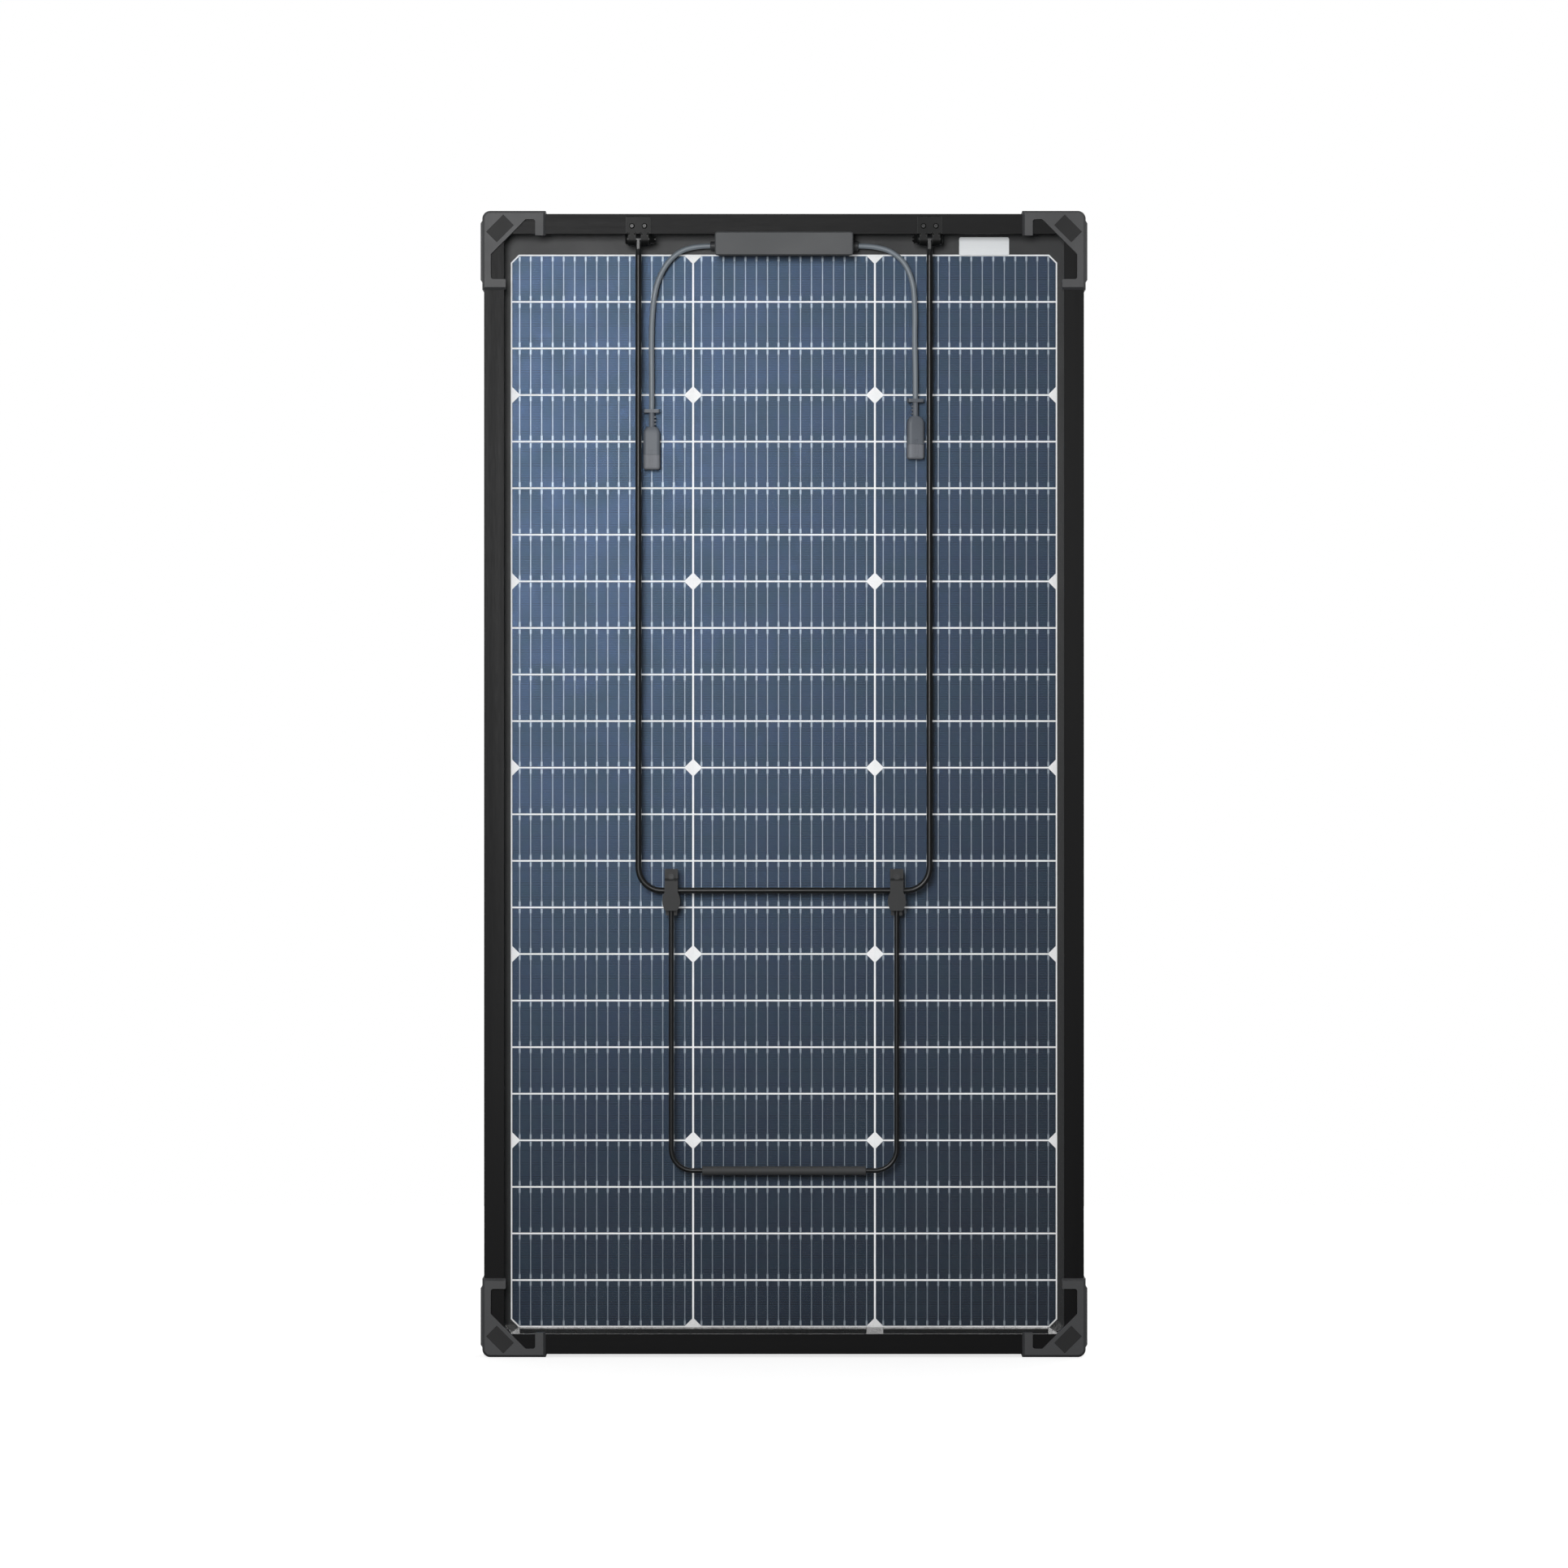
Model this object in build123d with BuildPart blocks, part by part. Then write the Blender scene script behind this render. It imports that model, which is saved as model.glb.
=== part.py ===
from build123d import *
import os
from math import cos, pi, radians, sin, sqrt, tan

# A framed bifacial solar panel with corner guards, a junction box with two leads and a folding wire
# stand. Millimetres. X runs across the panel, Z up its height, the back faces -Y and the glass +Y.
# The origin is on the ground under the middle of the panel, at half its depth.

os.makedirs("parts", exist_ok=True)

SIDES = {"left": -1, "right": 1}
ENDS = {"bottom": -1, "top": 1}

# --- Driving dimensions -------------------------------------------------------------------------

# Cells: round-cornered wafers cut into quarters and wired as three strings
cell_width = 182.0
cell_height = 45.5
cell_columns = 3
cell_rows = 23
column_gap = 1.8
row_gap = 1.6
wafer_chamfer = 7.3
first_wafer_rows = 3
wafer_rows = 4
grid_border = 1.4
ribbons_per_cell = 16
ribbon_width = 0.35
ribbon_edge = 7.5
bus_width = 5.0
bus_gap = 3.0

# Laminate layers
rear_sheet_thickness = 0.3
print_thickness = 0.1
rear_encapsulant_thickness = 0.3
ribbon_thickness = 0.12
cell_thickness = 0.18
front_encapsulant_thickness = 0.4
glass_thickness = 3.2

# Frame
flange_width = 20.0
side_margin = 5.3
top_margin = 17.8
bottom_margin = 3.7
frame_depth = 35.0
frame_wall = 1.6
chamber_wall = 1.4
lip_width = 8.0
chamber_width = 11.6
chamber_depth = 14.4
seal_thickness = 0.7
corner_bevel = 2.5
key_arm = 30.0
key_clearance = 0.1

# Corner guards
guard_rear = 3.0
guard_front = 2.0
guard_side = 1.7
guard_end = 3.0
guard_arm_past = 11.5
guard_drop_past = 27.0
guard_band = 8.6
guard_hook_width = 10.4
guard_hook_past = 1.8
guard_hook_reach = 4.2
guard_hook_lip = 2.2
guard_front_gusset = 30.0
guard_front_band = 9.0
guard_radius = 8.0
guard_window_radius = 2.5
guard_bevel = 2.4
guard_clearance = 0.1
hook_inset = 0.9
locator_depth = 4.6
locator_leg = 7.2
bumper_proud = 1.8
bumper_start = 9.8
bumper_length = 62.0
bumper_slope = 2.6
bumper_front_inset = 2.0
pad_length = 24.3
pad_width = 15.0
pad_centre = 17.9
pad_thickness = 1.0
pad_corner = 0.5

# Hinge brackets
bracket_spacing = 293.0
bracket_width = 24.9
bracket_height = 17.8
bracket_drop = 0.1
plate_thickness = 1.5
hinge_below_flange = 5.0
hinge_depth = 8.0
knuckle_width = 7.6
knuckle_gap = 5.2
knuckle_bore = 10.0
bracket_bevel = 1.2
relief_radius = 1.9
relief_rise = 1.3
rivet_spacing = 12.6
rivet_height = 7.8
rivet_head = 5.6
rivet_head_height = 1.3
rivet_dimple = 1.8
rivet_shank = 3.2
rivet_tail = 2.4
rivet_tail_spread = 0.8
bolt_diameter = 5.0
bolt_head = 11.0
bolt_head_height = 3.0
washer_diameter = 10.5
washer_thickness = 0.8
nut_flange = 11.5
nut_flange_height = 1.2
nut_taper = 20.0
nut_flats = 8.0
nut_height = 5.0
bolt_past_nut = 1.4
fit_clearance = 0.02
running_clearance = 0.05

# Stand and extension
stand_rod_diameter = 6.0
stand_bar_height = 468.7
stand_bend = 23.5
paddle_thickness = 4.8
paddle_width = 9.2
paddle_length = 10.0
paddle_blend = 6.0
paddle_edge = 1.2
foot_rod_diameter = 5.0
foot_spacing = 226.8
foot_bar_height = 187.0
foot_bend = 21.7
grip_length = 164.6
grip_diameter = 8.9
grip_bead = 9.7
grip_bead_width = 2.2
grip_edge = 0.5

# Clips, measured from the bar that they turn on
clip_width = 13.4
clip_top = 21.7
clip_bottom = 25.0
clip_step = 12.4
clip_step_fall = 2.5
clip_body_bottom = 20.2
clip_rear = 6.2
clip_front = 4.4
clip_tab = 3.2
clip_bulge = 17.9
clip_bulge_start = 2.0
clip_bulge_drop = 10.0
clip_neck_width = 11.4
clip_screw_height = 14.5
clip_boss = 7.2
clip_boss_height = 4.6
clip_screw_head = 4.4
clip_screw_head_height = 1.2
clip_screw_socket = 1.8
clip_screw_shank = 2.5
clip_screw_length = 3.0
clip_end_gap = 0.2
foot_rod_top = 5.0
pin_drop = 11.0
pin_diameter = 2.5
pin_length = 12.4

# Junction box
box_width = 139.2
box_height = 18.4
box_below_flange = 1.0
box_lid_height = 23.7
box_lid_over_flange = 2.0
box_side_inset = 2.0
box_wall = 2.4
box_floor = 2.0
box_lid_thickness = 2.1
box_lid_proud = 2.4
box_corner = 2.6
box_edge = 1.2
box_adhesive = 1.0
box_adhesive_inset = 1.5
rim_depth = 2.4
rim_wall = 1.4
rim_clearance = 0.2
gasket_section = 1.0
terminal_count = 4
terminal_pitch = 30.0
terminal_width = 9.0
terminal_length = 12.0
terminal_thickness = 0.8
diode_diameter = 5.0
diode_length = 9.0
diode_wire = 1.0
diode_wire_length = 24.0

# Leads and their connectors
lead_diameter = 5.4
lead_behind_sheet = 8.6
lead_below_flange = 10.0
gland_reach = {"left": 6.8, "right": 7.4}
gland_diameter = {"left": 9.2, "right": 10.5}
gland_spigot = 7.6
gland_nut = 9.6
gland_nut_height = 1.6
gland_bore = 4.6
gland_mouth = 2.0
gland_edge = 0.8
connector_width = 16.8
connector_thickness = 11.0
connector_corner = 3.4
connector_turn = {"left": 0.0, "right": 14.0}
collar_width = 15.8
collar_thickness = 8.0
collar_height = 3.4
collar_corner = 1.6
neck_diameter = 5.6
neck_length = 14.3
neck_ribs = 3
neck_rib_pitch = 3.6
neck_rib_height = 1.3
neck_rib_proud = 1.5
shoulder_length = 8.6
shoulder_rise = 3.2
shoulder_shrink = {"top": 7.0, "middle": 2.0}
shell_length = 19.5
cap_length = 14.6
cap_gap = 0.3
cap_wall = 1.5
cap_edge = 1.4
nose_length = 12.6
nose_clearance = 0.15
latch_width = 3.8
latch_depth = 0.8
latch_above_seam = 4.6
latch_below_seam = 9.8
notch_drop = 12.6
notch_height = 1.2
contact_diameter = 3.0
contact_length = 20.0
contact_inset = 1.6

# Each lead as steps outward and upward from the mouth of its gland to the top of its collar
LEAD_ROUTES = {
    "left": [
        (0.0, 0.0),
        (19.6, 0.0),
        (39.6, -11.0),
        (53.6, -34.0),
        (58.6, -63.0),
        (59.5, -98.0),
        (59.1, -132.0),
        (59.1, -165.0),
    ],
    "right": [
        (0.0, 0.0),
        (21.0, 0.0),
        (43.0, -11.0),
        (55.0, -33.0),
        (57.3, -63.0),
        (56.7, -95.0),
        (57.6, -124.8),
        (57.6, -154.4),
    ],
}

# Rating plate
label_width = 50.6
label_height = 18.4
label_left = 177.0
label_thickness = 0.8
label_gap = 0.2
label_corner = 2.0
label_edge = 0.2

# --- Places worked out from the dimensions above ------------------------------------------------

field_width = cell_columns * cell_width + (cell_columns - 1) * column_gap
field_height = cell_rows * cell_height + (cell_rows - 1) * row_gap
grid_width = field_width + 2 * grid_border
grid_height = field_height + 2 * grid_border
frame_width = grid_width + 2 * (side_margin + flange_width)
frame_height = grid_height + top_margin + bottom_margin + 2 * flange_width

half_width = frame_width / 2
total_depth = guard_rear + frame_depth + guard_front
back_y = -total_depth / 2
frame_back = back_y + guard_rear
frame_front = frame_back + frame_depth
frame_bottom = guard_end
frame_top = frame_bottom + frame_height
middle_z = (frame_bottom + frame_top) / 2
flange_bottom = frame_bottom + flange_width
flange_top = frame_top - flange_width
grid_bottom = flange_bottom + bottom_margin
grid_top = grid_bottom + grid_height
field_top = grid_top - grid_border
field_bottom = grid_bottom + grid_border

# The glazing slot and the stack of layers in it, from the front lip backwards
slot_front = frame_front - frame_wall
glass_front = slot_front - seal_thickness
glass_back = glass_front - glass_thickness
front_encapsulant_back = glass_back - front_encapsulant_thickness
cell_back = front_encapsulant_back - cell_thickness
ribbon_back = cell_back - ribbon_thickness
rear_encapsulant_back = ribbon_back - rear_encapsulant_thickness
print_back = rear_encapsulant_back - print_thickness
sheet_back = print_back - rear_sheet_thickness
slot_back = sheet_back - seal_thickness
chamber_back = slot_back - chamber_depth
laminate_width = frame_width - 2 * (frame_wall + seal_thickness)
laminate_height = frame_height - 2 * (frame_wall + seal_thickness)

hinge_z = flange_top - hinge_below_flange
hinge_y = back_y + hinge_depth
knuckle_outer = hinge_y - (frame_back - plate_thickness)
stand_x = bracket_spacing / 2
foot_x = foot_spacing / 2
lug_starts = (-knuckle_gap / 2 - knuckle_width, knuckle_gap / 2)

lid_top = flange_top + box_lid_over_flange
lid_back = frame_back - box_lid_proud
lid_front = lid_back + box_lid_thickness
lid_z = lid_top - box_lid_height / 2
base_half = box_width / 2 - box_side_inset
base_z = flange_top - box_below_flange - box_height / 2
base_front = sheet_back - box_adhesive
floor_back = base_front - box_floor
cavity_width = 2 * (base_half - box_wall)
cavity_height = box_height - 2 * box_wall
lead_z = flange_top - lead_below_flange
lead_y = sheet_back - lead_behind_sheet


def at_depth(y):
    """The plane that faces the back of the panel at depth y: its x is X and its y is Z."""
    return Plane.XZ.offset(-y)


def across(x):
    """The plane that faces +X at x: its x is Y and its y is Z."""
    return Plane.YZ.offset(x)


def level(z):
    """The level plane at height z."""
    return Plane.XY.offset(z)


def cut_corners(left, bottom, right, top, lower, upper):
    """An upright rectangle's outline, its corners cut off by lower and upper."""
    points = [
        (left + lower, bottom),
        (right - lower, bottom),
        (right, bottom + lower),
        (right, top - upper),
        (right - upper, top),
        (left + upper, top),
        (left, top - upper),
        (left, bottom + lower),
    ]
    return list(dict.fromkeys(points))


# --- Frame: four mitred rails and the keys in their corners --------------------------------------

rail_profile = [
    (0, frame_back),
    (flange_width, frame_back),
    (flange_width, frame_back + frame_wall),
    (frame_wall, frame_back + frame_wall),
    (frame_wall, chamber_back),
    (chamber_width, chamber_back),
    (chamber_width, slot_back),
    (frame_wall, slot_back),
    (frame_wall, slot_front),
    (lip_width, slot_front),
    (lip_width, frame_front),
    (0, frame_front),
]

# Each rail starts at one corner and runs round the frame to the next: its start, the way it runs,
# the way that its flange points, and its length
rails = {
    "frame_rail_left": ((-half_width, frame_bottom), (0, 1), (1, 0), frame_height),
    "frame_rail_top": ((-half_width, frame_top), (1, 0), (0, -1), frame_width),
    "frame_rail_right": ((half_width, frame_top), (0, -1), (-1, 0), frame_height),
    "frame_rail_bottom": ((half_width, frame_bottom), (-1, 0), (0, 1), frame_width),
}
rivet_z = flange_top + rivet_height
rivet_xs = [
    side * stand_x + step * rivet_spacing / 2 for side in SIDES.values() for step in (-1, 1)
]

for node, (start, run, inward, length) in rails.items():
    run_way = Vector(run[0], 0, run[1])
    inward_way = Vector(inward[0], 0, inward[1])
    start_point = Vector(start[0], 0, start[1])
    end_point = start_point + run_way * length
    with BuildPart() as rail:
        with BuildSketch(Plane(start_point, x_dir=inward_way, z_dir=run_way)):
            Polygon(*rail_profile)
            with Locations(
                (
                    (frame_wall + chamber_width - chamber_wall) / 2,
                    (chamber_back + slot_back) / 2,
                )
            ):
                Rectangle(
                    chamber_width - chamber_wall - frame_wall,
                    chamber_depth - 2 * chamber_wall,
                    mode=Mode.SUBTRACT,
                )
        extrude(amount=length)
        for corner, along in ((start_point, run_way), (end_point, -run_way)):
            split(bisect_by=Plane(corner, z_dir=along - inward_way), keep=Keep.TOP)
            bevel = corner + along * corner_bevel
            split(bisect_by=Plane(bevel, z_dir=along + inward_way), keep=Keep.TOP)
        if node == "frame_rail_top":
            with BuildSketch(at_depth(frame_back + frame_wall)):
                with Locations(*[(x, rivet_z) for x in rivet_xs]):
                    Circle(rivet_shank / 2 + fit_clearance)
            extrude(amount=frame_wall, mode=Mode.SUBTRACT)
    rail.part.label = node
    export_step(rail.part, f"parts/{node}.step")

key_outer = frame_wall + key_clearance
key_inner = chamber_width - chamber_wall - key_clearance
key_outline = [
    (key_outer, key_outer),
    (key_outer + key_arm, key_outer),
    (key_outer + key_arm, key_inner),
    (key_inner, key_inner),
    (key_inner, key_outer + key_arm),
    (key_outer, key_outer + key_arm),
]
with BuildPart() as corner_keys:
    with BuildSketch(at_depth(slot_back - chamber_wall - key_clearance)):
        for side in SIDES.values():
            for end in ENDS.values():
                Polygon(
                    *[
                        (side * (half_width - u), middle_z + end * (frame_height / 2 - v))
                        for u, v in key_outline
                    ]
                )
    extrude(amount=chamber_depth - 2 * chamber_wall - 2 * key_clearance)
corner_keys.part.label = "corner_keys"
export_step(corner_keys.part, "parts/corner_keys.step")

# --- Laminate --------------------------------------------------------------------------------------

layers = {
    "front_glass": (glass_front, glass_thickness),
    "front_encapsulant": (glass_back, front_encapsulant_thickness),
    "rear_encapsulant": (ribbon_back, rear_encapsulant_thickness),
    "rear_sheet": (print_back, rear_sheet_thickness),
}
for node, (front, thickness) in layers.items():
    with BuildPart() as layer:
        with BuildSketch(at_depth(front)):
            with Locations((0, middle_z)):
                Rectangle(laminate_width, laminate_height)
        extrude(amount=thickness)
    layer.part.label = node
    export_step(layer.part, f"parts/{node}.step")

wafer_edges = {0, *range(first_wafer_rows, cell_rows + 1, wafer_rows)}


def cell_outline(column, row):
    """The outline of one quarter cell, cut off where it holds a corner of its wafer."""
    left = -field_width / 2 + column * (cell_width + column_gap)
    top = field_top - row * (cell_height + row_gap)
    upper = wafer_chamfer if row in wafer_edges else 0
    lower = wafer_chamfer if row + 1 in wafer_edges else 0
    return cut_corners(left, top - cell_height, left + cell_width, top, lower, upper)


columns = {"left": 0, "middle": 1, "right": 2}
ribbon_pitch = (cell_width - 2 * ribbon_edge) / (ribbons_per_cell - 1)
ribbon_run = field_height + 2 * bus_gap

for name, column in columns.items():
    with BuildPart() as cells:
        with BuildSketch(at_depth(front_encapsulant_back)):
            for row in range(cell_rows):
                Polygon(*cell_outline(column, row))
        extrude(amount=cell_thickness)
    cells.part.label = f"cells_{name}"
    export_step(cells.part, f"parts/cells_{name}.step")

    string_x = (column - (cell_columns - 1) / 2) * (cell_width + column_gap)
    with BuildPart() as ribbons:
        with BuildSketch(at_depth(cell_back)):
            with Locations((string_x, (field_top + field_bottom) / 2)):
                with GridLocations(ribbon_pitch, 0, ribbons_per_cell, 1):
                    Rectangle(ribbon_width, ribbon_run)
        extrude(amount=ribbon_thickness)
    ribbons.part.label = f"ribbons_{name}"
    export_step(ribbons.part, f"parts/ribbons_{name}.step")

# Bus ribbons join the strings in series: one pair of columns below, the other above
bus_low = field_bottom - bus_gap - bus_width / 2
bus_high = field_top + bus_gap + bus_width / 2
column_pitch = cell_width + column_gap
with BuildPart() as bus_ribbons:
    with BuildSketch(at_depth(cell_back)):
        with Locations((-column_pitch / 2, bus_low)):
            Rectangle(column_pitch + cell_width - 2 * ribbon_edge, bus_width)
        with Locations((column_pitch / 2, bus_high)):
            Rectangle(column_pitch + cell_width - 2 * ribbon_edge, bus_width)
        with Locations((-column_pitch, bus_high)):
            Rectangle(cell_width - 2 * ribbon_edge, bus_width)
        with Locations((column_pitch, bus_low)):
            Rectangle(cell_width - 2 * ribbon_edge, bus_width)
    extrude(amount=ribbon_thickness)
bus_ribbons.part.label = "bus_ribbons"
export_step(bus_ribbons.part, "parts/bus_ribbons.step")

# The border keeps its width round the cut corners of the outer cells
grid_cut = wafer_chamfer + grid_border * (2 - sqrt(2))
grid_outline = cut_corners(
    -grid_width / 2, grid_bottom, grid_width / 2, grid_top, grid_cut, grid_cut
)
with BuildPart() as white_grid:
    with BuildSketch(at_depth(rear_encapsulant_back)):
        Polygon(*grid_outline)
        for column in columns.values():
            for row in range(cell_rows):
                Polygon(*cell_outline(column, row), mode=Mode.SUBTRACT)
    extrude(amount=print_thickness)
white_grid.part.label = "white_grid"
export_step(white_grid.part, "parts/white_grid.step")

with BuildPart() as dark_margin:
    with BuildSketch(at_depth(rear_encapsulant_back)):
        with Locations((0, middle_z)):
            Rectangle(laminate_width, laminate_height)
        Polygon(*grid_outline, mode=Mode.SUBTRACT)
    extrude(amount=print_thickness)
dark_margin.part.label = "dark_margin"
export_step(dark_margin.part, "parts/dark_margin.step")

# The seal is a channel round the laminate's edge, filling the slot behind the front lip
with BuildPart() as edge_seal:
    with BuildSketch(at_depth(slot_front)):
        with Locations((0, middle_z)):
            Rectangle(frame_width - 2 * frame_wall, frame_height - 2 * frame_wall)
            Rectangle(
                frame_width - 2 * lip_width, frame_height - 2 * lip_width, mode=Mode.SUBTRACT
            )
    extrude(amount=slot_front - slot_back)
    with BuildSketch(at_depth(glass_front)):
        with Locations((0, middle_z)):
            Rectangle(laminate_width, laminate_height)
    extrude(amount=glass_front - sheet_back, mode=Mode.SUBTRACT)
edge_seal.part.label = "edge_seal"
export_step(edge_seal.part, "parts/edge_seal.step")

# --- Corner guards, made once at the top left and mirrored ----------------------------------------

guard_x = -half_width - guard_side
guard_z = frame_top + guard_end
flange_x = -half_width + flange_width
hook_x = flange_x + guard_hook_past
hook_z = flange_top - guard_hook_past
# The locator fills the inner corner of the flange, and the gusset runs just past it
locator_x = flange_x + guard_clearance
locator_z = flange_top - guard_clearance
guard_gusset = (locator_x - guard_x) + (guard_z - locator_z) + locator_leg + guard_clearance
guard_arm = guard_gusset + guard_arm_past
guard_drop = guard_gusset + guard_drop_past
arm_x = guard_x + guard_arm
drop_z = guard_z - guard_drop
hook_front = frame_back + guard_hook_reach
hook_middle = guard_hook_width / 2
hook_width = guard_hook_width - 2 * hook_inset


def corner_points(*steps):
    """Points given as steps inward and downward from the guard's outer corner."""
    return [(guard_x + inward, guard_z - down) for inward, down in steps]


# The rear plate is cut away between its two arms and its gusset
window_corners = corner_points(
    (guard_arm - guard_hook_width, guard_band),
    (guard_gusset - guard_band, guard_band),
    (guard_band, guard_gusset - guard_band),
    (guard_band, guard_drop - guard_hook_width),
)
rear_outline = [
    (guard_x, guard_z),
    (arm_x, guard_z),
    (arm_x, hook_z),
    (arm_x - guard_hook_width, hook_z),
    *window_corners,
    (hook_x, drop_z + guard_hook_width),
    (hook_x, drop_z),
    (guard_x, drop_z),
]
front_outline = corner_points(
    (0, 0),
    (guard_arm, 0),
    (guard_arm, guard_front_band),
    (guard_front_gusset - guard_front_band, guard_front_band),
    (guard_front_band, guard_front_gusset - guard_front_band),
    (guard_front_band, guard_drop),
    (0, guard_drop),
)
wall_outline = corner_points(
    (0, 0),
    (guard_arm, 0),
    (guard_arm, guard_end),
    (guard_side + corner_bevel, guard_end),
    (guard_side, guard_end + corner_bevel),
    (guard_side, guard_drop),
    (0, guard_drop),
)
locator_outline = [
    (locator_x, locator_z),
    (locator_x + locator_leg, locator_z),
    (locator_x, locator_z - locator_leg),
]
bumper_top = guard_z - bumper_start
bumper_bottom = bumper_top - bumper_length
bumper_outline = [
    (guard_x + bumper_proud, bumper_top + bumper_slope),
    (guard_x - bumper_proud, bumper_top - bumper_slope),
    (guard_x - bumper_proud, bumper_bottom + bumper_slope),
    (guard_x + bumper_proud, bumper_bottom - bumper_slope),
]
# The band's rear edge carries on in line with the bevel of the rear plate
bevel_y = back_y + guard_bevel
bumper_front = frame_front - bumper_front_inset
bumper_section = [
    (guard_x, bevel_y),
    (guard_x - bumper_proud, bevel_y + bumper_proud),
    (guard_x - bumper_proud, bumper_front - bumper_proud),
    (guard_x, bumper_front),
]
pad_x = guard_x + pad_centre
pad_z = guard_z - pad_centre

with BuildPart() as bumper:
    with BuildSketch(level(bumper_bottom)):
        Polygon(*bumper_section)
    extrude(amount=bumper_length)
    with BuildSketch(at_depth(frame_front)):
        Polygon(*bumper_outline)
    extrude(amount=frame_depth, mode=Mode.INTERSECT)

with BuildPart() as guard:
    with BuildSketch(at_depth(frame_back)) as rear_plate:
        Polygon(*rear_outline)
        rounded = [
            rear_plate.vertices().sort_by_distance(Vector(*corner))[0] for corner in window_corners
        ]
        fillet(rounded, guard_window_radius)
    extrude(amount=guard_rear)
    with BuildSketch(at_depth(frame_front + guard_front)):
        Polygon(*wall_outline)
    extrude(amount=frame_depth + guard_front)
    with BuildSketch(at_depth(frame_front + guard_front)):
        Polygon(*front_outline)
    extrude(amount=guard_front)
    outer_corner = (
        guard.edges()
        .filter_by(Axis.Y)
        .sort_by_distance(Vector(guard_x, 0, guard_z))[0]
    )
    fillet(outer_corner, guard_radius)
    rear_face = guard.faces().sort_by(Axis.Y)[0]
    rim = [
        edge
        for edge in rear_face.outer_wire().edges()
        if edge.center().X < guard_x + guard_end
        or edge.center().Z > guard_z - guard_end
        or edge.center().X > arm_x - fit_clearance
        or edge.center().Z < drop_z + fit_clearance
    ]
    chamfer(rim, guard_bevel)
    # Hooks: down past the flange's edge, then back under it
    with BuildSketch(at_depth(hook_front)):
        with Locations((arm_x - hook_middle, hook_z)):
            Rectangle(hook_width, locator_z - hook_z, align=(Align.CENTER, Align.MIN))
        with Locations((locator_x, drop_z + hook_middle)):
            Rectangle(hook_x - locator_x, hook_width, align=(Align.MIN, Align.CENTER))
    extrude(amount=guard_hook_reach)
    with BuildSketch(at_depth(hook_front)):
        with Locations((arm_x - hook_middle, locator_z)):
            Rectangle(hook_width, guard_hook_lip, align=(Align.CENTER, Align.MIN))
        with Locations((locator_x, drop_z + hook_middle)):
            Rectangle(guard_hook_lip, hook_width, align=(Align.MAX, Align.CENTER))
    extrude(amount=guard_hook_reach - frame_wall - guard_clearance)
    with BuildSketch(at_depth(frame_back + locator_depth)):
        Polygon(*locator_outline)
    extrude(amount=locator_depth)
    with BuildSketch(at_depth(back_y + pad_thickness)):
        with Locations(Location((pad_x, pad_z), 45)):
            Rectangle(pad_length + 2 * guard_clearance, pad_width + 2 * guard_clearance)
    extrude(amount=pad_thickness, mode=Mode.SUBTRACT)
    add(bumper.part)

with BuildPart() as pad:
    with BuildSketch(at_depth(back_y + pad_thickness)):
        with Locations(Location((pad_x, pad_z), 45)):
            RectangleRounded(pad_length, pad_width, pad_corner)
    extrude(amount=pad_thickness)

for end_name, end in ENDS.items():
    for side_name, side in SIDES.items():
        with BuildPart() as corner_guard:
            add(guard.part)
            if side > 0:
                mirror(about=Plane.YZ, mode=Mode.REPLACE)
            if end < 0:
                mirror(about=level(middle_z), mode=Mode.REPLACE)
        corner_guard.part.label = f"corner_guard_{end_name}_{side_name}"
        export_step(corner_guard.part, f"parts/corner_guard_{end_name}_{side_name}.step")

with BuildPart() as guard_pads:
    add(pad.part)
    mirror(about=Plane.YZ)
    mirror(about=level(middle_z))
guard_pads.part.label = "guard_pads"
export_step(guard_pads.part, "parts/guard_pads.step")

# --- Rating plate, bare ---------------------------------------------------------------------------

with BuildPart() as label_plate:
    with BuildSketch(at_depth(sheet_back)):
        with Locations((label_left, flange_top - label_gap)):
            RectangleRounded(
                label_width, label_height, label_corner, align=(Align.MIN, Align.MAX)
            )
    extrude(amount=label_thickness)
    chamfer(label_plate.faces().sort_by(Axis.Y)[0].edges(), label_edge)
label_plate.part.label = "label_plate"
export_step(label_plate.part, "parts/label_plate.step")

# --- Hinge brackets and their fasteners -----------------------------------------------------------

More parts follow.
